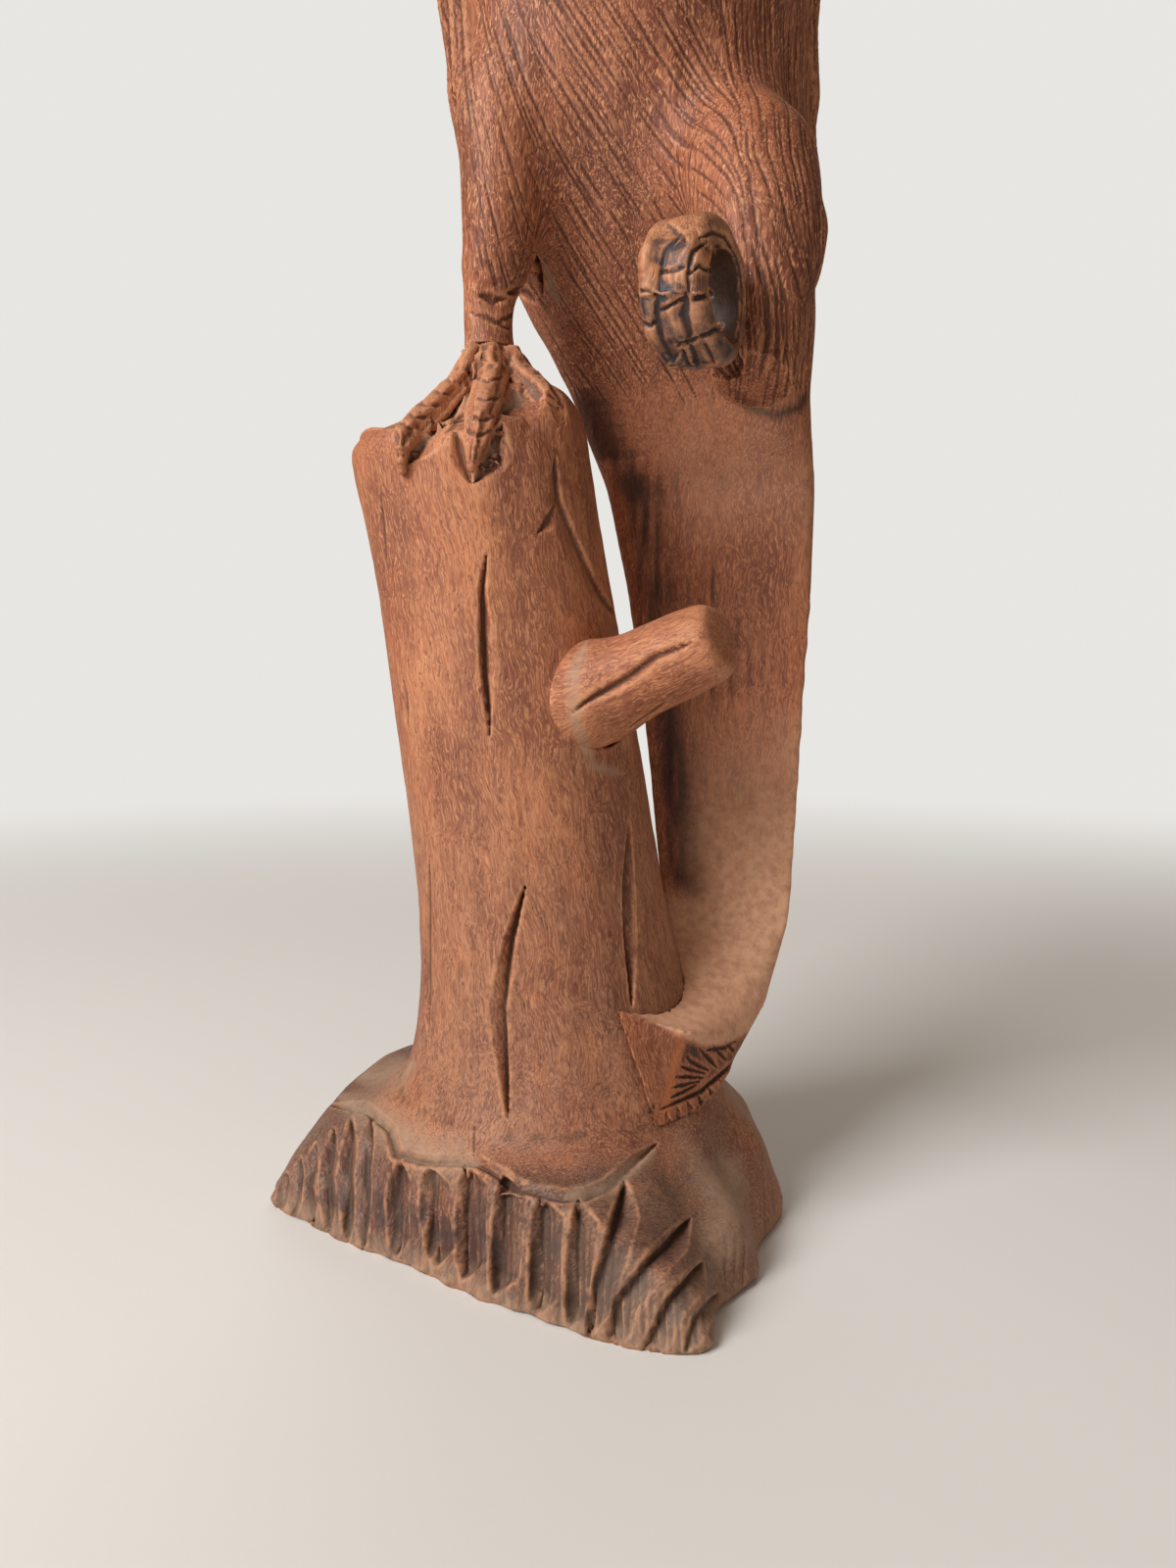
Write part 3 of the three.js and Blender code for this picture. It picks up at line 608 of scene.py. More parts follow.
class Ink:
    """Adds shader nodes and joins them, in a material or a node group."""

    def __init__(self, tree: bpy.types.NodeTree) -> None:
        """Takes the tree that the nodes go into."""
        self.tree = tree

    def node(
        self, kind: str, inputs: dict[str | int, object] | None = None, **settings: object
    ) -> bpy.types.Node:
        """Adds a node.

        Args:
            kind: the node's type.
            inputs: values, or sockets to join, for its inputs.
            settings: the node's own settings.

        Returns:
            The node.
        """
        made = self.tree.nodes.new(kind)
        for name, value in settings.items():
            setattr(made, name, value)
        for key, value in (inputs or {}).items():
            if isinstance(value, bpy.types.NodeSocket):
                self.tree.links.new(value, made.inputs[key])
            else:
                made.inputs[key].default_value = value
        return made

    def math(self, operation: str, *values: object, clamp: bool = False) -> bpy.types.NodeSocket:
        """Adds a Math node and gives its result."""
        return self.node(
            "ShaderNodeMath", dict(enumerate(values)), operation=operation, use_clamp=clamp
        ).outputs[0]

    def ramp(self, factor: bpy.types.NodeSocket, low: float, high: float) -> bpy.types.NodeSocket:
        """Maps low..high smoothly to 0..1."""
        inputs = {"Value": factor, "From Min": low, "From Max": high}
        return self.node("ShaderNodeMapRange", inputs, interpolation_type="SMOOTHSTEP").outputs["Result"]

    def blend(self, factor: object, first: object, second: object, kind: str = "MIX") -> bpy.types.NodeSocket:
        """Mixes two colours."""
        inputs = {0: factor, 6: first, 7: second}
        return self.node("ShaderNodeMix", inputs, data_type="RGBA", blend_type=kind).outputs[2]

    def noise(self, vector: bpy.types.NodeSocket, scale: float, detail: float = 3.0,
              stretch: tuple[float, float, float] = (1, 1, 1), rough: float = 0.5) -> bpy.types.NodeSocket:
        """Adds a noise texture on stretched coordinates."""
        mapped = self.node("ShaderNodeMapping", {"Vector": vector, "Scale": stretch}).outputs[0]
        inputs = {"Vector": mapped, "Scale": scale, "Detail": detail, "Roughness": rough}
        return self.node("ShaderNodeTexNoise", inputs).outputs[0]


def linear(red: int, green: int, blue: int) -> tuple[float, float, float, float]:
    """Turns a screen colour of 0 to 255 into the values that a shader takes."""
    def one(value: int) -> float:
        share = value / 255
        return share / 12.92 if share <= 0.04045 else ((share + 0.055) / 1.055) ** 2.4

    return one(red), one(green), one(blue), 1.0


def new_group(name: str, inputs: dict[str, str], outputs: dict[str, str]) -> tuple[bpy.types.NodeTree, Ink]:
    """Makes an empty shader node group.

    Args:
        name: the group's name.
        inputs: the kind of each input, by name.
        outputs: the kind of each output, by name.

    Returns:
        The group, and what adds its nodes.
    """
    tree = bpy.data.node_groups.new(name, "ShaderNodeTree")
    for title, kind in inputs.items():
        tree.interface.new_socket(name=title, in_out="INPUT", socket_type=f"NodeSocket{kind}")
    for title, kind in outputs.items():
        tree.interface.new_socket(name=title, in_out="OUTPUT", socket_type=f"NodeSocket{kind}")
    return tree, Ink(tree)


def wood_figure_group() -> bpy.types.NodeTree:
    """Streaks, flecks and pores of open-grained wood, on grain coordinates in millimetres."""
    tree, ink = new_group(
        "wood figure",
        {
            "Grain": "Vector", "Light": "Color", "Middle": "Color", "Deep": "Color", "Fleck": "Color",
            "Flecks": "Float",
        },
        {"Color": "Color", "Pores": "Float", "Height": "Float"},
    )
    given = ink.node("NodeGroupInput").outputs
    grain = given["Grain"]
    warp = ink.node("ShaderNodeTexNoise", {"Vector": grain, "Scale": 0.09, "Detail": 2.0}).outputs[1]
    centred = ink.node("ShaderNodeVectorMath", {0: warp, 1: (0.5, 0.5, 0.5)}, operation="SUBTRACT").outputs[0]
    bent = ink.node(
        "ShaderNodeVectorMath", {0: centred, 1: (5.0, 5.0, 2.0), 2: grain}, operation="MULTIPLY_ADD"
    ).outputs[0]
    curl = ink.node("ShaderNodeTexNoise", {"Vector": grain, "Scale": 0.3, "Detail": 2.0}).outputs[1]
    curled = ink.node("ShaderNodeVectorMath", {0: curl, 1: (0.5, 0.5, 0.5)}, operation="SUBTRACT").outputs[0]
    wavy = ink.node(
        "ShaderNodeVectorMath", {0: curled, 1: (0.8, 0.8, 0.6), 2: bent}, operation="MULTIPLY_ADD"
    ).outputs[0]
    patches = ink.noise(grain, 0.045, 3.0, (1, 1, 0.6), 0.55)
    streaks = ink.noise(bent, 0.5, 3.0, (1, 1, 0.12), 0.6)
    lines = ink.noise(wavy, 3.0, 2.0, (1, 1, 0.05), 0.6)
    bands = ink.noise(bent, 0.85, 2.0, (1, 1, 0.05), 0.5)
    reds = ink.ramp(ink.noise(grain, 0.07, 3.0, (1, 1, 0.5)), 0.42, 0.64)
    tone = ink.blend(ink.ramp(patches, 0.3, 0.7), given["Middle"], given["Light"])
    shaded = ink.math("MULTIPLY", ink.ramp(ink.noise(grain, 0.06, 3.0, (1, 1, 0.4)), 0.46, 0.7), 0.7)
    tone = ink.blend(shaded, tone, given["Deep"])
    tone = ink.blend(ink.math("MULTIPLY", ink.ramp(streaks, 0.5, 0.72), 0.42), tone, given["Deep"])
    tone = ink.blend(ink.math("MULTIPLY", ink.ramp(bands, 0.5, 0.62), 0.4), tone, given["Deep"])
    tone = ink.blend(ink.math("MULTIPLY", reds, 0.75), tone, (0.96, 0.84, 0.78, 1.0), "MULTIPLY")
    tone = ink.blend(ink.math("MULTIPLY", ink.ramp(lines, 0.5, 0.64), 0.5), tone, given["Deep"])
    tone = ink.blend(ink.math("MULTIPLY", ink.ramp(lines, 0.49, 0.38), 0.5), tone, given["Fleck"])
    dashes = ink.noise(wavy, 2.4, 1.0, (1, 1, 0.2), 0.4)
    spots = ink.math("MULTIPLY", ink.ramp(dashes, 0.6, 0.68), given["Flecks"])
    tone = ink.blend(spots, tone, given["Fleck"])
    holes = ink.ramp(ink.noise(wavy, 3.0, 1.0, (1, 1, 0.16), 0.4), 0.35, 0.29)
    tone = ink.blend(ink.math("MULTIPLY", holes, 0.5), tone, (0.05, 0.018, 0.012, 1.0))
    height = ink.math("SUBTRACT", ink.math("MULTIPLY", lines, 0.6), holes)
    ink.node("NodeGroupOutput", {"Color": tone, "Pores": holes, "Height": height})
    return tree


def settled_dust_group() -> bpy.types.NodeTree:
    """Pale dust in hollows and wherever the mesh says that it lies."""
    tree, ink = new_group(
        "settled dust",
        {"Place": "Vector", "Hollow": "Float", "Dust": "Float", "Amount": "Float"},
        {"Mask": "Float"},
    )
    given = ink.node("NodeGroupInput").outputs
    cloud = ink.noise(given["Place"], 420.0, 4.0, rough=0.6)
    crease = ink.math("MULTIPLY", ink.ramp(given["Hollow"], 0.25, 0.95), given["Amount"])
    laid = ink.math("ADD", crease, given["Dust"])
    broken = ink.math("MULTIPLY", laid, ink.ramp(cloud, 0.2, 0.75))
    held = ink.math("MULTIPLY_ADD", laid, 0.6, ink.math("MULTIPLY", broken, 0.65))
    ink.node("NodeGroupOutput", {"Mask": ink.math("MULTIPLY", held, 0.8, clamp=True)})
    return tree


def edge_wear_group() -> bpy.types.NodeTree:
    """Rubbed ridges, broken up by the wood."""
    tree, ink = new_group(
        "edge wear",
        {"Place": "Vector", "Ridge": "Float", "Amount": "Float"},
        {"Mask": "Float"},
    )
    given = ink.node("NodeGroupInput").outputs
    broken = ink.ramp(ink.noise(given["Place"], 420.0, 3.0), 0.32, 0.62)
    rubbed = ink.math("MULTIPLY", ink.ramp(given["Ridge"], 0.25, 1.0), broken)
    ink.node("NodeGroupOutput", {"Mask": ink.math("MULTIPLY", rubbed, given["Amount"], clamp=True)})
    return tree


@dataclass(frozen=True)
class SharedEffects:
    """The node groups that every wood finish uses."""

    figure: bpy.types.NodeTree
    dust: bpy.types.NodeTree
    wear: bpy.types.NodeTree


Colour = tuple[float, float, float, float]


@dataclass(frozen=True)
class WoodFinish:
    """Dry carved wood with open pores, darkened with painted shade in its cuts and hollows, and rubbed on its
    ridges.
    """

    name: str
    light: Colour = linear(192, 126, 87)
    middle: Colour = linear(160, 98, 70)
    deep: Colour = linear(118, 68, 52)
    fleck: Colour = linear(205, 142, 100)
    # colour of the painted shade in cuts, creases and shaded places
    hollow: Colour = linear(72, 40, 28)
    worn: Colour = linear(206, 145, 104)
    dust_tone: Colour = linear(168, 140, 116)
    stain_tone: Colour = linear(66, 50, 48)
    raw_tone: Colour = linear(202, 116, 66)
    # the greying that the grey layer multiplies in, for weathering and for painted shade
    grey_tone: Colour = (0.46, 0.62, 0.84, 1.0)
    flecks: float = 0.6
    dust: float = 0.06
    wear: float = 0.5
    roughness: float = 0.58
    sheen_level: float = 0.32
    bump: float = 0.5
    # how far the painted shade goes towards the hollow colour
    hollow_shade_share: float = 0.72

    def make(self, effects: SharedEffects) -> bpy.types.Material:
        """Builds the material.

        Args:
            effects: the shared node groups.

        Returns:
            The material.
        """
        material = bpy.data.materials.new(self.name)
        material.use_nodes = True
        ink = Ink(material.node_tree)
        shader = material.node_tree.nodes["Principled BSDF"]
        place = ink.node("ShaderNodeTexCoord").outputs["Object"]
        grain = ink.node("ShaderNodeAttribute", attribute_name=Layer.GRAIN.value).outputs["Vector"]

        def layer(which: Layer) -> bpy.types.NodeSocket:
            return ink.node("ShaderNodeAttribute", attribute_name=which.value).outputs["Fac"]

        figure = ink.node("ShaderNodeGroup", {
            "Grain": grain, "Light": self.light, "Middle": self.middle, "Deep": self.deep,
            "Fleck": self.fleck, "Flecks": self.flecks,
        }, node_tree=effects.figure)
        hollow, ridge = layer(Layer.HOLLOW), layer(Layer.RIDGE)
        dust = ink.node("ShaderNodeGroup", {
            "Place": place, "Hollow": hollow, "Dust": layer(Layer.DUST), "Amount": self.dust,
        }, node_tree=effects.dust)
        rubbed = {"Place": place, "Ridge": ridge, "Amount": self.wear}
        wear = ink.node("ShaderNodeGroup", rubbed, node_tree=effects.wear)
        # painted shade: the hollow layer darkens cuts and creases towards the hollow colour
        cut = ink.math("MULTIPLY", ink.ramp(hollow, 0.15, 1.0), self.hollow_shade_share)
        tone = ink.blend(cut, figure.outputs[0], self.hollow)
        # weathering and painted shade from the grey layer
        weathering_and_shade = ink.math("MULTIPLY", layer(Layer.GREY), ink.ramp(ink.noise(place, 90.0, 3.0), 0.1, 0.5))
        tone = ink.blend(weathering_and_shade, tone, self.grey_tone, "MULTIPLY")
        blotch = ink.ramp(ink.noise(place, 300.0, 3.0), 0.35, 0.6)
        stained = ink.math(
            "MULTIPLY", layer(Layer.STAIN), ink.math("MULTIPLY_ADD", blotch, 0.65, 0.35), clamp=True
        )
        tone = ink.blend(stained, tone, self.stain_tone)
        tone = ink.blend(wear.outputs[0], tone, self.worn)
        tone = ink.blend(layer(Layer.RAW), tone, self.raw_tone)
        tone = ink.blend(dust.outputs[0], tone, self.dust_tone)
        links = material.node_tree.links
        links.new(tone, shader.inputs["Base Color"])
        rough = ink.math("MULTIPLY_ADD", dust.outputs[0], 0.25, self.roughness)
        rough = ink.math("MULTIPLY_ADD", figure.outputs["Pores"], 0.15, rough, clamp=True)
        links.new(rough, shader.inputs["Roughness"])
        shader.inputs["Specular IOR Level"].default_value = self.sheen_level
        inputs = {"Height": figure.outputs["Height"], "Strength": self.bump, "Distance": 0.12 * MM}
        bump = ink.node("ShaderNodeBump", inputs)
        links.new(bump.outputs[0], shader.inputs["Normal"])
        return material


class Workshop:
    """Holds the finishes, and puts each finished piece in the frame."""

    def __init__(self) -> None:
        """Builds the shared effects and the finishes."""
        effects = SharedEffects(wood_figure_group(), settled_dust_group(), edge_wear_group())
        carved = WoodFinish("carved hardwood")
        self.finishes = {
            "stump": carved.make(effects),
            "bird": WoodFinish(
                "feathered hardwood", light=linear(162, 98, 69), middle=linear(138, 80, 58),
                deep=linear(98, 53, 41), fleck=linear(204, 140, 98), hollow=linear(66, 34, 24), dust=0.0,
                flecks=0.9,
            ).make(effects),
            "dark": WoodFinish(
                "stained foot wood", light=linear(176, 118, 80), middle=linear(150, 98, 70),
                deep=linear(104, 68, 50), hollow=linear(34, 21, 16), stain_tone=linear(50, 47, 54),
                dust=0.0, wear=0.6, roughness=0.5, sheen_level=0.4, hollow_shade_share=0.86,
            ).make(effects),
            # the tail's dust tone is lightened as painted light for its shaded scoop, and its hollow colour
            # is near black for painted shadow
            "tail": WoodFinish(
                "scraped tail wood", light=linear(170, 108, 77), middle=linear(148, 88, 62),
                deep=linear(110, 62, 46), fleck=linear(196, 130, 90), hollow=linear(38, 17, 10),
                dust_tone=linear(236, 184, 148), flecks=0.5, dust=0.0, wear=0.35, hollow_shade_share=0.86,
            ).make(effects),
            "eye": WoodFinish(
                "polished eye wood", light=linear(30, 22, 18), middle=linear(22, 16, 13),
                deep=linear(14, 10, 9), fleck=linear(40, 28, 22), dust=0.0, wear=0.0, roughness=0.22,
                sheen_level=0.5, bump=0.1, flecks=0.2,
            ).make(effects),
            "dowel": WoodFinish(
                "plain dowel wood", light=linear(208, 166, 118), middle=linear(196, 152, 104),
                deep=linear(170, 126, 84), fleck=linear(216, 178, 132), dust=0.0, wear=0.0, flecks=0.3,
            ).make(effects),
        }

    def place(self, piece: bpy.types.Object, finish: str, slot: Slot, *nodes: str) -> None:
        """Thins a piece that has too many triangles, and gives it its finish and its place in the frame."""
        triangles = len(piece.data.loops) - 2 * len(piece.data.polygons)
        if triangles > MOST_TRIANGLES:
            apply_modifier(piece, "DECIMATE", ratio=MOST_TRIANGLES / triangles)
        piece.data.materials.append(self.finishes[finish])
        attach(piece, ROOT)
        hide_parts(*nodes)
        triangles = len(piece.data.loops) - 2 * len(piece.data.polygons)
        log.info("%s: %d points, %d triangles", piece.name, len(piece.data.vertices), triangles)


@dataclass
class Carving:
    """A piece carved from the solid of one node, or of several that show no joint.

    Args:
        nodes: the nodes that it is made of.
        name: the piece's name.
        pitch: the distance between its points, in metres.
        swell: how far the nodes swell to close the glue lines between them, in metres.
        upright: how many times further apart the points lie along its height.
        rounds: how far its facets are smoothed.
        finish: the finish that it wears.
        slot: the record's slot for that finish; not used.
    """

    nodes: tuple[str, ...]
    name: str
    pitch: float
    swell: float = 0.0
    upright: float = 1.0
    rounds: int = 40
    finish: str = "bird"
    slot: Slot = Slot.CARVED

    def build(self) -> Skin:
        """Makes the fine even mesh that is then carved."""
        copies = [copy_node(node, self.name) for node in self.nodes]
        if self.swell:
            for copy in copies:
                skin = Skin(copy)
                skin.push(np.full(skin.count, self.swell))
        self.piece = copies[0]
        look(self.piece)
        for copy in copies[1:]:
            copy.select_set(True)
        if copies[1:]:
            bpy.ops.object.join()
        squeeze = Matrix.Diagonal((1, 1, 1 / self.upright, 1))
        self.piece.data.transform(squeeze)
        apply_modifier(self.piece, "REMESH", mode="VOXEL", voxel_size=self.pitch, adaptivity=0)
        self.piece.data.transform(squeeze.inverted())
        if copies[1:]:
            self.drop_voids()
        skin = Skin(self.piece)
        if self.swell:
            skin.push(np.full(skin.count, -self.swell))
        skin.round_facets(self.rounds)
        self.shape(skin)
        if self.fine(skin.points, skin.normals) is None:
            return skin
        facing = read_rows(self.piece.data.polygons, "normal")
        select_faces(self.piece, self.fine(face_centres(self.piece), facing))
        bpy.ops.mesh.subdivide(number_cuts=1)
        bpy.ops.object.mode_set(mode="OBJECT")
        finer = Skin(self.piece)
        finer.points = finer.blur(finer.points, 2, 0.4)
        finer.refresh()
        return finer

    def shape(self, skin: Skin) -> None:
        """Shapes the piece before its details are cut."""

    def fine(self, points: Array, normals: Array) -> Array | None:
        """Says where the mesh needs twice as many points each way, or None for nowhere."""
        return None

    def drop_voids(self) -> None:
        """Keeps the outer skin alone, without the dowel holes that the block closed."""
        look(self.piece)
        bpy.ops.object.mode_set(mode="EDIT")
        bpy.ops.mesh.select_all(action="SELECT")
        bpy.ops.mesh.separate(type="LOOSE")
        bpy.ops.object.mode_set(mode="OBJECT")
        shells = sorted(bpy.context.selected_objects, key=lambda shell: len(shell.data.vertices))
        self.piece = shells.pop()
        for shell in shells:
            bpy.data.objects.remove(shell)
        self.piece.name = self.name

    def carve(self, skin: Skin) -> Array:
        """Cuts the piece's own details, and gives its grain coordinates."""
        return skin.points / MM

    def make(self, shop: Workshop) -> None:
        """Builds, carves, finishes and places the piece."""
        skin = self.build()
        grain = self.carve(skin)
        skin.finish(grain)
        self.place(shop)

    def place(self, shop: Workshop) -> None:
        """Finishes the piece and puts it in the frame."""
        shop.place(self.piece, self.finish, self.slot, *self.nodes)


def node_points(node: str) -> Array:
    """Gives the corners of a node's solid."""
    return read_rows(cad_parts[node].data.vertices, "co")


def meeting_plane(upper: str, lower: str) -> tuple[Array, Array]:
    """Finds the flat joint between two nodes that are glued face to face.

    Args:
        upper: the node above the joint.
        lower: the node below it.

    Returns:
        A point of the joint, and its normal towards the upper node.
    """
    below = node_points(lower)
    tree = kdtree.KDTree(len(below))
    for index, point in enumerate(below):
        tree.insert(point, index)
    tree.balance()
    above = node_points(upper)
    near = np.array([point for point in above if tree.find(point)[2] < 0.8 * MM])
    centre = near.mean(0)
    normal = np.linalg.svd(near - centre)[2][2]
    if normal @ (above.mean(0) - centre) < 0:
        normal = -normal
    return centre, normal


def select_faces(piece: bpy.types.Object, wanted: Array) -> None:
    """Selects the faces that a row of truth values names, and nothing else."""
    look(piece)
    bpy.ops.object.mode_set(mode="EDIT")
    bpy.ops.mesh.select_mode(type="FACE")
    bpy.ops.mesh.select_all(action="DESELECT")
    bpy.ops.object.mode_set(mode="OBJECT")
    piece.data.polygons.foreach_set("select", wanted)
    bpy.ops.object.mode_set(mode="EDIT")


def face_centres(piece: bpy.types.Object) -> Array:
    """Gives the middle of each face."""
    return read_rows(piece.data.polygons, "center")


def cap(piece: bpy.types.Object) -> None:
    """Closes the cut face of a piece with a flat face."""
    look(piece)
    before = len(piece.data.polygons)
    bpy.ops.object.mode_set(mode="EDIT")
    bpy.ops.mesh.select_mode(type="EDGE")
    bpy.ops.mesh.select_all(action="DESELECT")
    bpy.ops.mesh.select_non_manifold(
        extend=False, use_wire=False, use_boundary=True, use_multi_face=False,
        use_non_contiguous=False, use_verts=False,
    )
    bpy.ops.mesh.edge_face_add()
    bpy.ops.mesh.mark_sharp()
    bpy.ops.mesh.select_all(action="SELECT")
    bpy.ops.mesh.normals_make_consistent(inside=False)
    bpy.ops.object.mode_set(mode="OBJECT")
    for polygon in piece.data.polygons[before:]:
        polygon.use_smooth = False


def part(
    piece: bpy.types.Object, name: str, upper: str, lower: str, inside: Callable[[Array], Array]
) -> bpy.types.Object:
    """Saws a block along the joint of two nodes.

    Args:
        piece: the block, which keeps what is above the joint.
        name: the name of what is below it.
        upper: the node above the joint.
        lower: the node below it.
        inside: says which places the saw reaches.

    Returns:
        What is below the joint.
    """
    centre, normal = meeting_plane(upper, lower)
    select_faces(piece, inside(face_centres(piece)))
    bpy.ops.mesh.bisect(plane_co=centre, plane_no=normal, use_fill=False)
    bpy.ops.object.mode_set(mode="OBJECT")
    centres = face_centres(piece)
    select_faces(piece, inside(centres) & ((centres - centre) @ normal < 0))
    bpy.ops.mesh.separate(type="SELECTED")
    bpy.ops.object.mode_set(mode="OBJECT")
    other = next(found for found in bpy.context.selected_objects if found != piece)
    other.name = name
    cap(piece)
    cap(other)
    return other


def upright_axis(points: Array, step: float = 4 * MM) -> Callable[[Array], tuple[Array, Array]]:
    """Finds the middle line of an upright piece.

    Args:
        points: the piece's points.
        step: the height of the slices that are measured.

    Returns:
        A function from heights to the middle's x and y there.
    """
    low, high = points[:, 2].min(), points[:, 2].max()
    heights = np.arange(low + step, high - step / 2, step)
    middles = []
    for height in heights:
        ring = points[np.abs(points[:, 2] - height) < step / 2]
        middles.append((ring.min(0) + ring.max(0)) / 2)
    table = np.array(middles)
    return lambda z: (np.interp(z, heights, table[:, 0]), np.interp(z, heights, table[:, 1]))


CROWN_DEPTHS: Table = (
    (-41, 0), (-38, 1.6), (-34, 3.4), (-30, 5.1), (-26, 6.9), (-22, 8.1), (-18, 8.4), (-13, 8.2), (-8, 7.2),
    (-2, 6.0), (2, 4.4), (5, 2.4), (8, 1.0), (12, 0),
)


def crown_depth(points: Array) -> Array:
    """Says how far below the solids the stump's crown lies, and the toes on it.

    Args:
        points: rows of x, y and z.

    Returns:
        The depth at each point, in metres.
    """
    x, y, z = points.T
    depth = read_table(CROWN_DEPTHS, x / MM) * MM
    return depth * smoothstep(20 * MM, 4 * MM, y) * smoothstep(170 * MM, 184 * MM, z)


@dataclass
class Trunk(Carving):
    """The leaning stump and the root base, which show no joint between them."""

    seat: float = 30 * MM
    top: float = 189 * MM
    gouge_pitch: float = 6.5 * MM
    corner_outline: Table = ((150, 0), (172, 0.4), (177, 0.6), (182, 2.0), (188, 2.0))
    cuts: Marks = mark_rows(
        (((496, 566), (490, 600), (492, 680), (499, 750)), 3.0, 2.4, 0.4, -0.6),
        (((536, 905), (523, 960), (512, 1030), (517, 1100), (518, 1141)), 4.0, 2.8, 0.4, 0.5),
        (((642, 838), (639, 900), (640, 948), (645, 1028)), 3.0, 2.6, 0.35, -0.4),
        (((438, 873), (436, 960), (437, 1064)), 2.2, 0.9, 0.4),
        (((567, 465), (572, 509), (592, 558), (612, 600), (634, 634)), 4.4, 1.1, 0.4, 0.8),
        (((567, 514), (549, 543)), 3.6, 1.0, 0.5, -0.8),
        (((388, 502), (391, 545), (395, 582)), 1.4, 0.6, 0.4),
        (((411, 690), (416, 745)), 1.6, 0.8, 0.4),
        (((484, 1148), (483, 1182)), 0.9, 0.4, 0.4),
    )
    crown: Marks = mark_rows(
        (((474, 388), (440, 430), (411, 474)), 6.5, 2.6, 0.35, -0.5),
        (((484, 390), (470, 425), (452, 440)), 7.0, 1.2, 0.4),
        (((464, 440), (472, 470), (481, 494)), 4.5, 1.6, 0.4),
        (((512, 432), (502, 462), (484, 492)), 6.0, 2.2, 0.4, -0.4),
        (((508, 420), (530, 404), (562, 390)), 8.0, 2.0, 0.4, 0.4),
    )
    apron: PhotoMark = PhotoMark(
        ((335, 1128), (372, 1133), (395, 1152), (402, 1180), (430, 1188), (484, 1188), (508, 1200),
         (530, 1215), (575, 1224), (598, 1222), (622, 1212), (640, 1196), (672, 1166)),
        3.0 * MM, 1.5 * MM, 0.08, -0.5,
    )
    rim_cuts: Marks = mark_rows(
        (((292, 1196), (284, 1238)), 3.5, 1.3, 0.3),
        (((306, 1180), (298, 1246)), 3.5, 1.5, 0.3),
        (((322, 1166), (312, 1210), (318, 1256)), 4.2, 1.8, 0.3),
        (((340, 1150), (330, 1200), (334, 1262)), 4.2, 1.9, 0.3, -0.3),
        (((358, 1140), (350, 1195), (354, 1268)), 4.6, 2.1, 0.3, -0.3),
        (((380, 1140), (371, 1190), (371, 1276)), 5.0, 2.3, 0.3, 0.3),
        (((407, 1185), (400, 1225), (403, 1284)), 5.2, 2.5, 0.2, -0.4),
        (((437, 1192), (434, 1235), (444, 1292)), 6.6, 2.9, 0.15, -0.5),
        (((474, 1190), (470, 1240), (472, 1305)), 6.6, 2.9, 0.15, -0.6),
        (((513, 1200), (508, 1250), (503, 1320)), 6.6, 3.0, 0.15, -0.6),
        (((551, 1222), (546, 1275), (545, 1342)), 6.6, 3.0, 0.15, -0.6),
        (((590, 1225), (584, 1275), (581, 1352)), 5.8, 2.8, 0.15, -0.6),
        (((637, 1204), (632, 1232), (618, 1280), (605, 1316), (598, 1366)), 5.6, 2.7, 0.2, -0.6),
        (((704, 1243), (668, 1280), (628, 1332), (620, 1382)), 5.2, 2.5, 0.15, -0.6),
        (((717, 1288), (683, 1328), (662, 1370), (656, 1390)), 5.0, 2.4, 0.15, -0.6),
        (((733, 1320), (712, 1345), (700, 1380)), 3.6, 1.4, 0.2, -0.4),
    )
    blots: Marks = mark_rows(
        (((420, 1228), (424, 1252)), 9, 0, 0.5),
        (((452, 1240), (462, 1275)), 9, 0, 0.5),
        (((488, 1215), (498, 1285)), 9, 0, 0.5),
        (((505, 1270), (512, 1300)), 8, 0, 0.5),
        (((573, 1248), (563, 1290)), 8, 0, 0.5),
        (((640, 1268), (618, 1306), (590, 1350)), 9, 0, 0.5),
        (((700, 1316), (684, 1352)), 9, 0, 0.5),
        (((722, 1280), (726, 1300)), 9, 0, 0.5),
        (((660, 1290), (640, 1330)), 6, 0, 0.5),
        (((340, 1200), (350, 1245)), 8, 0, 0.5),
        (((385, 1215), (392, 1260)), 7, 0, 0.5),
    )
    dusty: Marks = mark_rows(
        (((345, 1118), (400, 1150), (440, 1180), (490, 1188)), 13, 0, 0.15),
        (((360, 1100), (395, 1095), (425, 1085)), 12, 0, 0.3),
        (((575, 1222), (620, 1212), (670, 1172)), 5, 0, 0.1),
        (((484, 386), (474, 406), (457, 424), (440, 438), (427, 452), (415, 472)), 4.5, 0, 0.2),
        (((512, 420), (535, 402), (560, 391)), 5, 0, 0.3),
        (((508, 450), (495, 475), (484, 490)), 4, 0, 0.3),
        (((600, 650), (584, 690), (586, 735), (606, 782), (640, 790)), 3, 0, 0.1),
    )

    def shape(self, skin: Skin) -> None:
        """Lowers the crown's left side into the flat slope that the toes lie on."""
        skin.points[:, 2] -= crown_depth(skin.points)
        corner = smoothstep(-28 * MM, -36 * MM, skin.points[:, 0])
        height = skin.points[:, 2]
        out = read_table(self.corner_outline, height / MM)
        skin.points[:, 0] -= out * MM * corner
        skin.refresh()

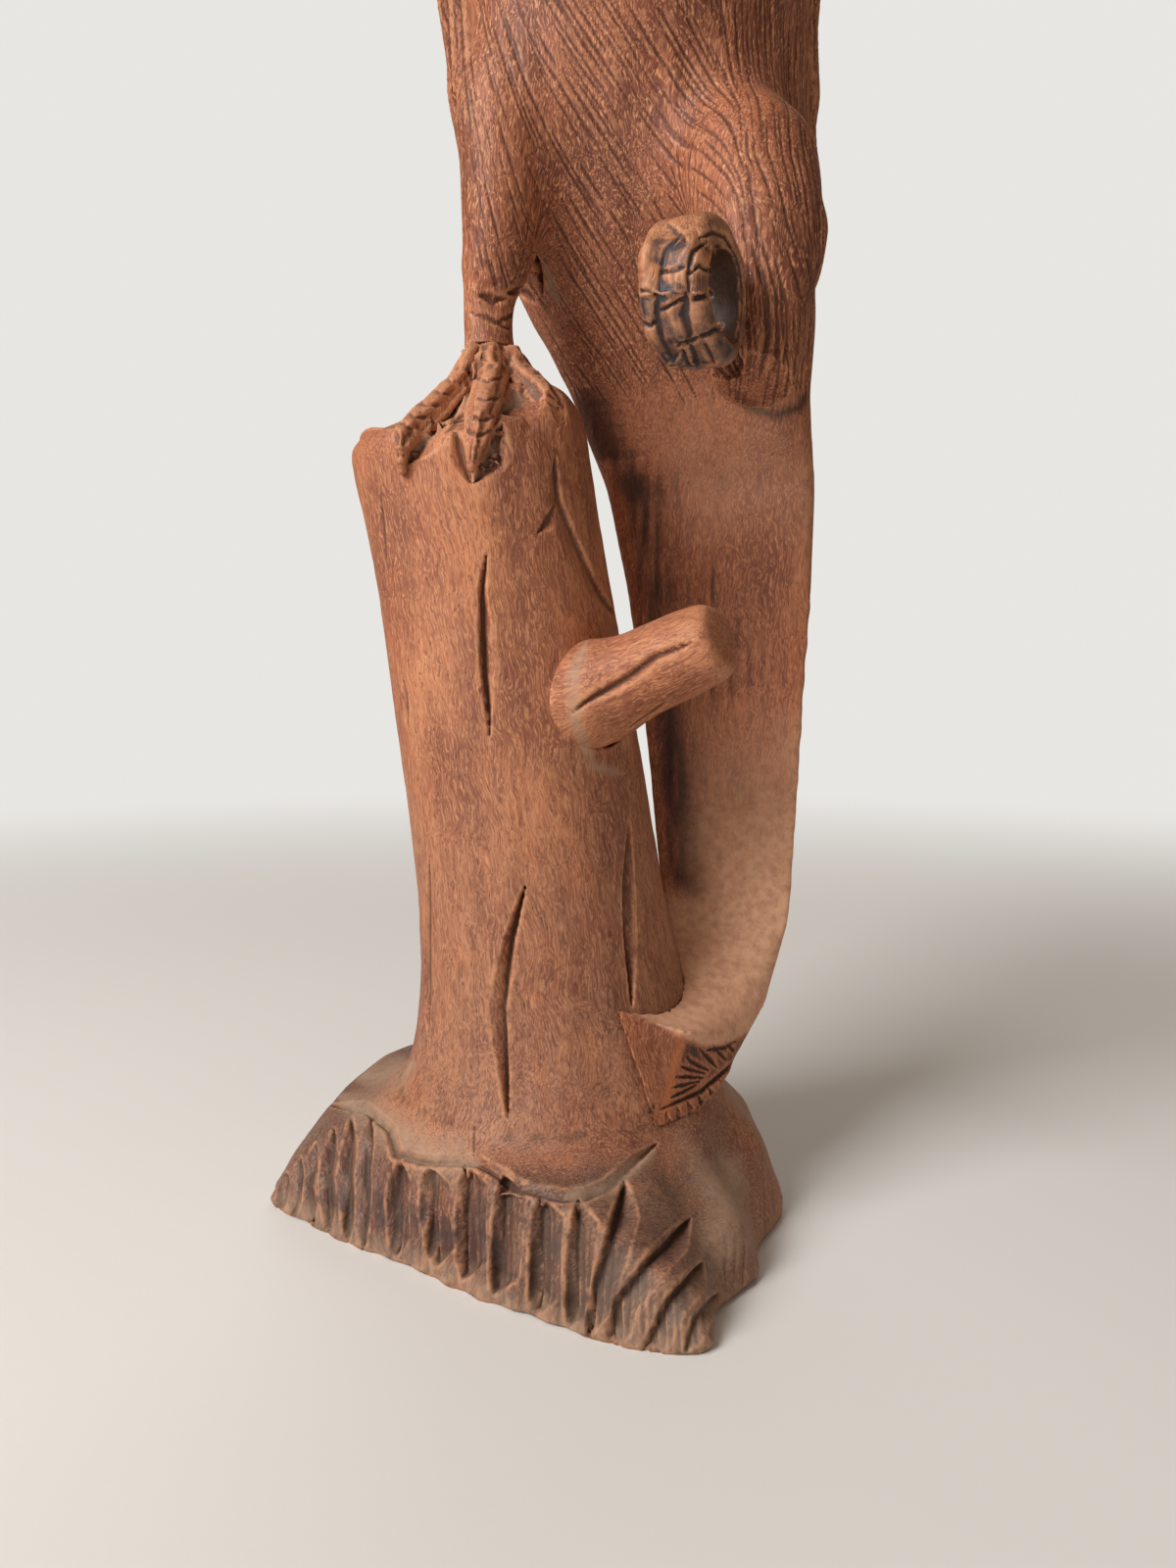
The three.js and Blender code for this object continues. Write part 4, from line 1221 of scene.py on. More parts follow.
    def carve(self, skin: Skin) -> Array:
        """Takes away the solids' coarse cuts, then makes the fine ones."""
        height = skin.points[:, 2]
        shaft = (height > self.seat + 1 * MM) & (height < self.top)
        axis = upright_axis(skin.points[shaft])
        middle = np.stack(axis(height), 1)
        seat_x, seat_y = axis(np.array([self.seat + 4 * MM]))
        offset = skin.points[:, :2] - middle
        radius = np.linalg.norm(offset, axis=1)
        height = skin.points[:, 2]
        turn = np.arctan2(offset[:, 1], offset[:, 0])
        self.fill_old_cuts(skin, middle, offset, radius)
        wood = skin.points
        above = smoothstep(self.seat - 4 * MM, self.seat + 10 * MM, height)
        body = above * smoothstep(4 * MM, 16 * MM, self.top + 8 * MM - height)
        swell = 0.6 * MM * noise(wood, (15 * MM, 15 * MM, 55 * MM), 3)
        flute = 0.25 * MM * noise(wood, (4.5 * MM, 4.5 * MM, 60 * MM), 4)
        chatter = 0.08 * MM * noise(wood, 3 * MM, 5)
        mound = (1 - above) * 0.5 * MM * noise(wood, 9 * MM, 8)
        skin.push(body * (swell + flute) + chatter + mound)
        self.raise_under_toes(skin)
        self.carve_rim(skin, np.arctan2(skin.points[:, 1] - seat_y, skin.points[:, 0] - seat_x))
        cut_marks(skin, self.cuts, 0.5)
        cut_marks(skin, self.crown, 0.2)
        cover_marks(skin, self.dusty, Layer.DUST, 0.8, 0.9)
        # the base's outer rim is weathered grey; the stump greys and darkens towards the bottom as painted
        # shade
        high = skin.points[:, 2] + 6 * MM * noise(wood, 20 * MM, 9)
        outer = smoothstep(2 * MM, 14 * MM, radius - 36 * MM) * smoothstep(70 * MM, 30 * MM, wood[:, 0])
        lower = 0.45 * smoothstep(150 * MM, 50 * MM, high) * smoothstep(62 * MM, 34 * MM, wood[:, 0])
        skin.cover(Layer.GREY, np.maximum(lower, outer * (high < 60 * MM)))
        bank = (
            smoothstep(30 * MM, 44 * MM, wood[:, 0]) * smoothstep(0.1, 0.5, skin.normals[:, 2])
            * (height < 45 * MM)
        )
        skin.cover(Layer.DUST, 0.9 * bank * smoothstep(-0.6, 0.3, noise(wood, 14 * MM, 10)))
        wave = 1.6 * noise(wood, 26 * MM, 6) + 0.5 * noise(wood, 9 * MM, 7)
        return np.stack([turn * 30 + wave, radius / MM, height / MM], 1)

    def fine(self, points: Array, normals: Array) -> Array | None:
        """Asks for more points in the cuts, on the crown and on the rim that the photograph shows."""
        shown = normals[:, 1] < 0.1
        wanted = (points[:, 2] > 170 * MM) | ((points[:, 2] < 29 * MM) & (points[:, 2] > 1 * MM))
        for mark in self.cuts:
            wanted |= mark.measure(points)[0] < 0.7 * mark.width
        return wanted & shown

    def raise_under_toes(self, skin: Skin) -> None:
        """Raises the crown until the toes lie in the wood instead of on it."""
        foot = copy_node("perch_foot", "toe_measure")
        apply_modifier(foot, "REMESH", mode="VOXEL", voxel_size=0.8 * MM, adaptivity=0)
        toes = Skin(foot).points
        toes[:, 2] -= crown_depth(toes)
        bpy.data.objects.remove(foot)
        tree = kdtree.KDTree(len(toes))
        for index, (x, y, z) in enumerate(toes.tolist()):
            if z < 196 * MM:
                tree.insert((x, y, 0.0), index)
        tree.balance()
        lift = np.zeros(skin.count)
        for index in np.flatnonzero(skin.points[:, 2] > 168 * MM).tolist():
            x, y, z = skin.points[index].tolist()
            _, near, distance = tree.find((x, y, 0.0))
            gap = toes[near, 2] - z - 0.6 * MM
            if 0 < gap < 8 * MM and distance < 5 * MM:
                lift[index] = min(gap, 2.5 * MM) * (1 - distance / (5 * MM)) ** 0.6
        lift = skin.blur(lift, 6)
        skin.points[:, 2] += lift
        skin.refresh()

    def fill_old_cuts(self, skin: Skin, middle: Array, offset: Array, radius: Array) -> None:
        """Fills the coarse cuts of the stump's solid, so that the fine ones stand alone."""
        height = skin.points[:, 2]
        bins = np.round(height / (2 * MM)).astype(int)
        side = (height > self.seat + 1 * MM) & (height < self.top - 4 * MM)
        bands = np.unique(bins[side])
        full = np.array([np.percentile(radius[side & (bins == band)], 70) for band in bands])
        wanted = np.interp(height / (2 * MM), bands, full)
        short = side & (radius > wanted - 4 * MM) & (radius < wanted)
        lift = np.where(short, wanted / radius, 1)
        skin.points[:, :2] = middle + offset * lift[:, None]
        skin.refresh()
        skin.round_facets(12)

    def carve_rim(self, skin: Skin, turn: Array) -> None:
        """Gouges the rim of the base all round, and cuts the apron line above it."""
        height = skin.points[:, 2]
        steep = smoothstep(0.75, 0.35, np.abs(skin.normals[:, 2]))
        rim = steep * smoothstep(self.seat, self.seat - 6 * MM, height) * (height > 0.4 * MM)
        shown = np.minimum(1, 8 * skin.facing()) * smoothstep(12 * MM, 2 * MM, skin.points[:, 1])
        around = turn * 58 * MM + 2 * MM * noise(skin.points, 16 * MM, 21)
        across = around / self.gouge_pitch + 0.08 * (height / MM) * noise(skin.points, 40 * MM, 22)
        old = 1.7 * MM * strands(across, height, 23, 2.2)
        skin.push(rim * (1 - shown) * old)
        column = PHOTO.project(skin.points)[0] + 3 * noise(skin.points, 12 * MM, 27)
        radial, seen = strands(around / (2.1 * MM), height, 24, 2.0), strands(column / 9.5, height, 26, 2.0)
        fine = 0.35 * MM * (shown * seen + (1 - shown) * radial)
        skin.push(rim * (0.4 + 0.6 * smoothstep(16 * MM, 4 * MM, height)) * fine)
        cut_marks(skin, (self.apron,), 0.3)
        cut_marks(skin, self.rim_cuts, 0.35)
        low = rim * smoothstep(20 * MM, 6 * MM, height)
        cloud = smoothstep(-0.1, 0.5, noise(skin.points, (7 * MM, 7 * MM, 12 * MM), 25))
        stain = 0.55 * low * cloud * (1 - shown)
        skin.cover(Layer.STAIN, stain)
        cover_marks(skin, self.blots, Layer.STAIN, 0.85)
        right = smoothstep(-10 * MM, 40 * MM, skin.points[:, 0])
        skin.layers[Layer.DUST] = rim * np.maximum(0.5 * smoothstep(7 * MM, 1.5 * MM, height), 0.3 * right)

    def place(self, shop: Workshop) -> None:
        """Saws the stump from its base, and places both."""
        base = part(
            self.piece, "carved_root_base", "stump", "root_base", lambda centres: centres[:, 2] < 0.05
        )
        shop.place(self.piece, "stump", Slot.CARVED, "stump")
        shop.place(base, "stump", Slot.CARVED, "root_base")


@dataclass
class Bird(Carving):
    """The torso with both thighs, the head and the tail, which show no joint between them."""

    neck: float = 372.9 * MM
    tip_top: float = 66 * MM
    heel_drop: float = 9 * MM
    belly: Gouges = Gouges()
    flank: Gouges = Gouges(1.7 * MM, 14 * MM, 50 * MM, 1.3 * MM, 0.5 * MM)
    crest: Gouges = Gouges(1.9 * MM, 6 * MM, 15 * MM, 1.5 * MM, 0.4 * MM)
    fold_left: Table = (
        (193, 57), (207, 59), (222, 51), (238, 46), (248, 46.5), (275, 44), (330, 42),
    )
    fold_right: Table = ((193, 65), (238, 66), (275, 64), (330, 60))
    leans: Table = (
        (-20, 0.03), (-14, 0.1), (-8, 0.25), (-2, 0.35), (5, 0.62), (12, 0.74), (35, 0.74), (42, 0.5),
        (46, 0.1),
    )
    cuts: Marks = mark_rows(
        (((543, 250), (549, 275), (553, 302)), 2.4, 3.2, 0.5),
        (((449, 36), (455, 33), (461, 25)), 1.2, 0.9, 0.3),
        (((477, 318), (498, 322), (520, 336)), 1.6, 0.7, 0.4, 0.5),
        (((486, 300), (503, 309), (517, 305)), 3.0, 1.3, 0.4, -0.5),
        (((517, 300), (532, 300), (546, 309)), 3.0, 1.3, 0.4, -0.5),
        (((505, 330), (522, 322), (530, 318)), 1.6, 0.6, 0.4),
    )
    thigh_cuts: Marks = mark_rows(
        (((766, 250), (780, 295), (783, 340), (774, 385)), 3.4, 1.2, 0.4, -0.6),
        (((778, 250), (791, 295), (795, 345), (785, 396)), 3.0, 1.0, 0.4, -0.6),
        (((790, 262), (802, 312), (804, 352), (794, 396)), 2.6, 0.8, 0.4, -0.6),
    )
    tip_cuts: Marks = mark_rows(
        (((752, 1062), (738, 1070), (720, 1072)), 1.8, 0.8, 0.4),
        (((765, 1056), (750, 1085), (716, 1114), (673, 1133)), 1.6, 1.0, 0.2),
        (((725, 1093), (708, 1085), (700, 1078)), 1.5, 0.8, 0.4),
        (((722, 1096), (703, 1091), (694, 1088)), 1.5, 0.8, 0.4),
        (((720, 1100), (702, 1099), (690, 1099)), 1.5, 0.8, 0.4),
        (((717, 1103), (700, 1107), (686, 1110)), 1.5, 0.8, 0.4),
        (((712, 1107), (697, 1115), (683, 1121)), 1.5, 0.8, 0.4),
        (((733, 1090), (722, 1078), (714, 1070)), 1.5, 0.8, 0.4),
        (((742, 1082), (733, 1072), (728, 1066)), 1.5, 0.8, 0.4),
        (((750, 1074), (744, 1066), (740, 1062)), 1.3, 0.7, 0.4),
        (((680, 1134), (683, 1148), (681, 1160)), 1.7, 0.9, 0.4),
        (((691, 1129), (695, 1143), (694, 1152)), 1.7, 0.9, 0.4),
        (((702, 1123), (707, 1136), (706, 1144)), 1.7, 0.9, 0.4),
        (((713, 1117), (718, 1128), (717, 1136)), 1.7, 0.9, 0.4),
        (((724, 1110), (729, 1119), (728, 1127)), 1.7, 0.9, 0.4),
        (((735, 1101), (741, 1109), (740, 1116)), 1.6, 0.8, 0.4),
    )
    raw: Marks = mark_rows(
        (((684, 1048), (696, 1062), (690, 1082), (682, 1120), (676, 1160)), 2.6, 0, 0.2),
    )
    glue: Marks = mark_rows(
        (((556, 268), (562, 290), (572, 312)), 3.0, 0, 0.4),
    )
    dust: Marks = mark_rows(
        (((682, 925), (684, 980)), 3, 0, 0.3),
    )
    shade: Marks = mark_rows(
        (((742, 396), (766, 416), (792, 424), (816, 416), (829, 392)), 7, 0, 0.2),
        (((768, 285), (772, 330), (762, 375), (748, 392)), 6, 0, 0.2),
    )
    left_outline: Table = (
        (204, 1.2), (207, 1.2), (209.5, 0.3), (217, 0.5), (221, 1.2), (227, 1.8), (234, 1.4), (244, 0.8),
        (249, 0.2), (254, -1.4), (260, -1.4), (268, 0),
    )
    right_outline: Table = (
        (204, -0.4), (210, -0.4), (214, 1.2), (224, 1.3), (230, 0.2), (236, 0.6), (249, 1.0), (262, 0),
    )
    scoop_rim: tuple[Pixel, ...] = (
        (625, 1026), (650, 1036), (668, 1043), (690, 1056), (719, 1067), (740, 1066), (765, 1052),
        (790, 1010),
    )
    raw_edge: tuple[Pixel, ...] = ((690, 1048), (697, 1062), (691, 1082), (683, 1120), (677, 1160))

    def shape(self, skin: Skin) -> None:
        """Runs the thighs into the belly, and the belly into the tail, without creases."""
        x, y, z = skin.points.T
        crotch = smoothstep(222 * MM, 232 * MM, z + 0.4 * (x - 5 * MM)) * smoothstep(20 * MM, 8 * MM, y)
        thigh = smoothstep(219 * MM, 229 * MM, z) * smoothstep(20 * MM, 26 * MM, x)
        skin.fill_creases(np.maximum(crotch * (x < 24 * MM), thigh) * (z < 340 * MM), 50, 7)
        x, y, z = skin.points.T
        heel = (
            smoothstep(224 * MM, 199 * MM, z) * smoothstep(-3 * MM, -12 * MM, y)
            * smoothstep(32 * MM, 40 * MM, x)
        )
        ankle = smoothstep(218 * MM, 208.5 * MM, z) * (x < 2 * MM) * (z > 204 * MM) * (y < 15 * MM)
        skin.points[:, 2] -= self.heel_drop * heel * (z > 150 * MM) + ANKLE_DROP * ankle
        slim = read_table(self.left_outline, z / MM) * (z > 203 * MM)
        skin.points[:, 0] += slim * MM * smoothstep(-8 * MM, -12 * MM, x) * smoothstep(18 * MM, 12 * MM, y)
        wide = read_table(self.right_outline, z / MM) * (z > 203 * MM)
        skin.points[:, 0] += wide * MM * smoothstep(56 * MM, 63 * MM, x) * smoothstep(18 * MM, 12 * MM, y)
        skin.refresh()
        skin.round_facets(10)

    def fine(self, points: Array, normals: Array) -> Array | None:
        """Asks for more points on the belly, the thighs and the tail's end, which the photograph shows."""
        height = points[:, 2]
        front = (normals[:, 1] < -0.15) | (points[:, 0] < 10 * MM)
        return ((height > 184 * MM) & (height < 288 * MM) & front) | (height < self.tip_top)

    def front_lean(self, places: Array) -> Array:
        """Gives the lean of the strands on the belly and on the fan beside it."""
        x, z = places[:, 0] / MM, places[:, 1] / MM
        belly = read_table(self.leans, x) * smoothstep(372, 300, z)
        low = read_table(self.fold_left, z)
        high = read_table(self.fold_right, z)
        low_slope = (low - read_table(self.fold_left, z + 2)) / 2
        high_slope = (high - read_table(self.fold_right, z + 2)) / 2
        share = np.clip((x - low) / (high - low), 0, 1)
        fan = low_slope + share * (high_slope - low_slope)
        return belly + smoothstep(-3, 1, x - low) * (fan - belly)

    def side_lean(self, places: Array) -> Array:
        """Gives the lean of the strands on the sides, where across runs backwards."""
        return 0.12 + 0.9 * smoothstep(380 * MM, 400 * MM, places[:, 1])

    def top_lean(self, places: Array) -> Array:
        """Gives the wavy lean of the strands on top of the head."""
        return 0.2 * np.sin(places[:, 1] / MM)

    def carve(self, skin: Skin) -> Array:
        """Cuts the strands, and the marks that the photograph shows."""
        x, y, z = skin.points.T
        grain = np.stack([x, y, z], 1) / MM + 0.8 * noise(skin.points, 22 * MM, 31)[:, None]
        skin.push(0.12 * MM * noise(skin.points, (7 * MM, 7 * MM, 30 * MM), 32))
        self.cut_strands(skin)
        self.cut_tail(skin)
        self.cut_head(skin)
        cut_marks(skin, self.cuts, 0.8)
        ahead = smoothstep(0.3, 0.55, -skin.normals[:, 1]) * smoothstep(0, -9 * MM, skin.points[:, 1])
        folds = skin.blur(ahead * np.minimum.reduce([mark.cut(skin) for mark in self.thigh_cuts]), 3)
        skin.score(folds, 1.0 * MM)
        low = skin.points[:, 2] < 70 * MM
        skin.score(low * np.minimum.reduce([mark.cut(skin) for mark in self.tip_cuts]), 0.7 * MM)
        cover_marks(skin, self.raw, Layer.RAW, 0.5)
        cover_marks(skin, self.glue, Layer.DUST, 0.8)
        cover_marks(skin, self.dust, Layer.DUST, 1.0, 1.1)
        for mark in self.shade:
            skin.paint_shade(mark.cover(skin))
        self.shade_tail(skin)
        return grain

    def cut_strands(self, skin: Skin) -> None:
        """Cuts the strands of the torso, the thighs and the head."""
        x, y, z = skin.points.T
        nx, ny, nz = skin.normals.T
        top = smoothstep(0.5, 0.75, nz)
        thigh = smoothstep(38 * MM, 44 * MM, x) * smoothstep(-6 * MM, -12 * MM, y)
        upper = smoothstep(194 * MM, 203 * MM, z + 12 * MM * thigh + 5 * MM * noise(skin.points, 6 * MM, 33))
        bare = (x < 2 * MM) & (z < 217 * MM)
        front = smoothstep(0.3, 0.45, -ny) * upper * ~bare
        side = smoothstep(0.7, 0.55, -ny) * smoothstep(0.2, 0.4, np.abs(nx)) * upper * ~bare
        head = smoothstep(self.neck - 4 * MM, self.neck + 8 * MM, z)
        skin_front = np.stack([x, z], 1)
        skin_side = np.stack([y, z], 1)
        cuts = [
            self.belly.heights(skin_front, front * (1 - head), self.front_lean, 34),
            self.flank.heights(skin_side, side * (x < 25 * MM) * (1 - head), self.side_lean, 35),
            self.flank.heights(skin_side, side * (x > 25 * MM) * (1 - head), self.side_lean, 36),
            self.crest.heights(skin_front, front * head * (1 - top), self.front_lean, 37),
            self.crest.heights(skin_side, side * (x < 22 * MM) * head * (1 - top), self.side_lean, 38),
            self.crest.heights(skin_side, side * (x > 22 * MM) * head * (1 - top), self.side_lean, 39),
            self.crest.heights(skin_front, smoothstep(0.3, 0.5, ny) * head * (1 - top), self.side_lean, 40),
            self.crest.heights(np.stack([x, -y], 1), head * top, self.top_lean, 43),
        ]
        swell = 0.25 * MM * noise(skin.points, (4 * MM, 6 * MM, 26 * MM), 42)
        skin.push(upper * swell)
        skin.score(np.minimum.reduce(cuts), 0.7 * MM)

    def cut_tail(self, skin: Skin) -> None:
        """Cuts long feathers into the back of the tail, and scraper lines into its front."""
        x, _, z = skin.points.T
        back = smoothstep(0.1, 0.5, skin.normals[:, 1]) * smoothstep(205 * MM, 196 * MM, z)
        middle = 43 * MM + 0.1 * (z - 130 * MM)
        off = np.abs(x - middle)
        quill = -0.9 * MM * np.exp(-(((off % (11 * MM)) - 5.5 * MM) / (0.5 * MM)) ** 2)
        barbs = -0.3 * MM * np.abs(np.sin((z + 0.9 * off) * math.pi / (2.2 * MM))) ** 8
        skin.score(back * np.minimum(quill, barbs), 0.8 * MM)
        front = smoothstep(0.1, 0.5, -skin.normals[:, 1]) * smoothstep(198 * MM, 188 * MM, z)
        scrape = 0.06 * MM * noise(skin.points, (1.6 * MM, 4 * MM, 14 * MM), 41)
        skin.push(front * scrape)

    def shade_tail(self, skin: Skin) -> None:
        """Paints the stump's shadow on the tail's edge, shade in the recess under the scoop's rim, a darker
        band across the tail and shade on the torso's right side; darkens the low belly, and lays dust in the
        tail's scoop.
        """
        x, y, z = skin.points.T
        _, ny, nz = skin.normals.T
        front = smoothstep(0, 0.35, -ny)
        bins = np.clip(z / (3 * MM), 0, 150).astype(int)
        edge = np.full(151, 80 * MM)
        facing = (ny < -0.2) & (y > 4 * MM)
        np.minimum.at(edge, bins[facing], x[facing])
        inward = x - edge[bins] + 2 * MM * noise(skin.points, 12 * MM, 44)
        tail = smoothstep(66 * MM, 78 * MM, z) * smoothstep(214 * MM, 196 * MM, z) * (y > -5 * MM)
        # painted shadow of the stump on the tail's edge beside it
        dark = smoothstep(17 * MM, 4 * MM, inward) * front * tail
        skin.paint_shade(dark)
        cloud = 7 * MM * noise(skin.points, 14 * MM, 45)
        column, row, _ = PHOTO.project(skin.points)
        below_rim = row - read_table(self.scoop_rim, column)
        beyond_raw = column - np.interp(row, *reversed(list(zip(*self.raw_edge))))
        shown = np.minimum(1, 4 * skin.facing()) * (x > 12 * MM) * (y < 40 * MM)
        low_end = smoothstep(70 * MM, 64 * MM, z)
        # painted shade in the recess under the rim of the scoop
        recess = low_end * shown * smoothstep(1, 7, below_rim) * smoothstep(0, 7, beyond_raw)
        skin.paint_shade(0.75 * recess)
        # dust in the scoop; the tail finish's lightened dust tone also paints light there
        scoop = smoothstep(128 * MM, 84 * MM, z + cloud) * np.maximum(front, smoothstep(0.2, 0.6, nz))
        scoop *= (x > 15 * MM) * (1 - low_end + low_end * shown * smoothstep(3, -3, below_rim))
        # painted shade in a band across the middle of the tail
        middle = (
            front * tail * np.exp(-(((z + cloud - 131 * MM) / (13 * MM)) ** 2))
            * smoothstep(34 * MM, 44 * MM, x)
        )
        skin.paint_shade(0.32 * middle)
        under = (
            0.2 * np.exp(-(((z + cloud - 178 * MM) / (15 * MM)) ** 2)) * smoothstep(8 * MM, 22 * MM, inward)
        )
        skin.cover(Layer.DUST, (1 - dark) * np.maximum(0.85 * scoop, under * front * tail))
        # painted shade on the torso's right side, and a darker low belly
        torso = smoothstep(0.2, 0.5, -ny) * (y < 6 * MM)
        right = smoothstep(26 * MM, 46 * MM, x) * smoothstep(330 * MM, 280 * MM, z)
        low = smoothstep(232 * MM, 205 * MM, z) * smoothstep(2 * MM, 10 * MM, x)
        skin.paint_shade(torso * (z > 180 * MM) * np.maximum(0.46 * right, 0.4 * low))

    def cut_head(self, skin: Skin) -> None:
        """Cuts a ring round each eye and a crease behind the beak."""
        for eye in ("left_eye", "right_eye"):
            low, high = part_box(eye)
            centre = np.array((low + high) / 2)
            reach = 0.5 * (high[2] - low[2])
            away = np.linalg.norm(skin.points - centre, axis=1)
            ring = np.exp(-(((away - reach - 1.6 * MM) / (0.7 * MM)) ** 2))
            lid = np.exp(-(((away - reach - 0.3 * MM) / (0.8 * MM)) ** 2))
            skin.score(-0.7 * MM * ring, 0.8 * MM)
            skin.push(0.35 * MM * lid)

    def place(self, shop: Workshop) -> None:
        """Saws the block into the head, the torso, the tail and the tail's end."""
        torso = part(self.piece, "feathered_torso", "head", "body", lambda centres: centres[:, 2] > 0)
        tail = part(
            torso, "hollowed_tail", "body", "tail",
            lambda centres: (centres[:, 1] > -5 * MM) | (centres[:, 2] < 150 * MM),
        )
        tip = part(tail, "carved_tail_tip", "tail", "tail_tip", lambda centres: centres[:, 2] < 0.08)
        shop.place(self.piece, "bird", Slot.CARVED, "head")
        shop.place(torso, "bird", Slot.CARVED, "body", "perch_leg", "raised_thigh")
        shop.place(tail, "tail", Slot.CARVED, "tail")
        shop.place(tip, "tail", Slot.CARVED, "tail_tip")


@dataclass
class Wing(Carving):
    """A folded wing: covert feathers above, and long flight feathers below."""

    coverts: Tiles = Tiles(11 * MM, 8 * MM, 0.8 * MM)
    shoulder: float = 318 * MM
    edge: Gouges = Gouges(1.7 * MM, 20 * MM, 60 * MM, 1.4 * MM, 0.7 * MM)
    press_mm: float = 6
    left_press: tuple[float, float] = (10 * MM, -6 * MM)
    right_press: tuple[float, float] = (15 * MM, 1 * MM)
    picture_top: tuple[float, float] = (302 * MM, 286 * MM)
    left_outline: Table = (
        (230, 0.5), (240, 1.2), (250, 2.4), (256, 1.0), (263, -0.5), (270, -0.9), (282, -2.0), (300, -2.0),
        (330, -0.6), (350, 0),
    )
    right_outline: Table = (
        (240, 0), (250, 1.0), (258, 2.6), (266, 2.4), (276, 1.3), (290, 1.2), (320, 0.6), (345, 0),
    )

    @property
    def side(self) -> int:
        """Says which way the wing's outside looks: 1 for the bird's left, and -1 for its right."""
        return 1 if self.nodes[0] == "left_wing" else -1

    def shape(self, skin: Skin) -> None:
        """Presses the wing's front edge against the torso, and follows the photographed outline."""
        side = self.side
        outline = self.left_outline if side == 1 else self.right_outline
        _, y, z = skin.points.T
        flank = read_table(outline, z / MM) * smoothstep(-8 * MM, 8 * MM, y)
        reach = self.left_press if side == 1 else self.right_press
        press = smoothstep(*reach, y) * smoothstep(*self.picture_top, z)
        skin.points[:, 0] += side * MM * (flank - self.press_mm * press)
        skin.refresh()

    def carve(self, skin: Skin) -> Array:
        """Cuts the feathers on the outside."""
        x, y, z = skin.points.T
        side = self.side
        outward = side * skin.normals[:, 0]
        outer = smoothstep(0.0, 0.25, np.maximum(outward, skin.normals[:, 1]))
        front = smoothstep(0.3, 0.5, -skin.normals[:, 1])
        high = smoothstep(self.shoulder - 3 * MM, self.shoulder + 3 * MM, z + 0.25 * y)
        turn = np.arctan2(side * (x - 27 * MM), -(y - 12 * MM))
        across = turn * 42 * MM
        tiles = self.coverts.heights(across, -z, 51) - 0.8 * MM
        lines = across / (4.4 * MM) + 0.12 * (z - 280 * MM) / MM / 4.4
        vanes = 0.8 * MM * (((lines % 1.0) - 1.0) * 0.5 + strands(lines, z, 52, 5.0))
        barbs = -0.22 * MM * np.abs(np.sin((z + 1.4 * across) * math.pi / (2.0 * MM))) ** 6
        skin.score(outer * (high * tiles + (1 - high) * (vanes + barbs)), 1.1 * MM)
        places = np.stack([x, z], 1)
        skin.score(self.edge.heights(places, front, lambda spot: np.full(len(spot), 0.02), 53), 0.9 * MM)
        return np.stack([across, np.hypot(x, y), z], 1) / MM


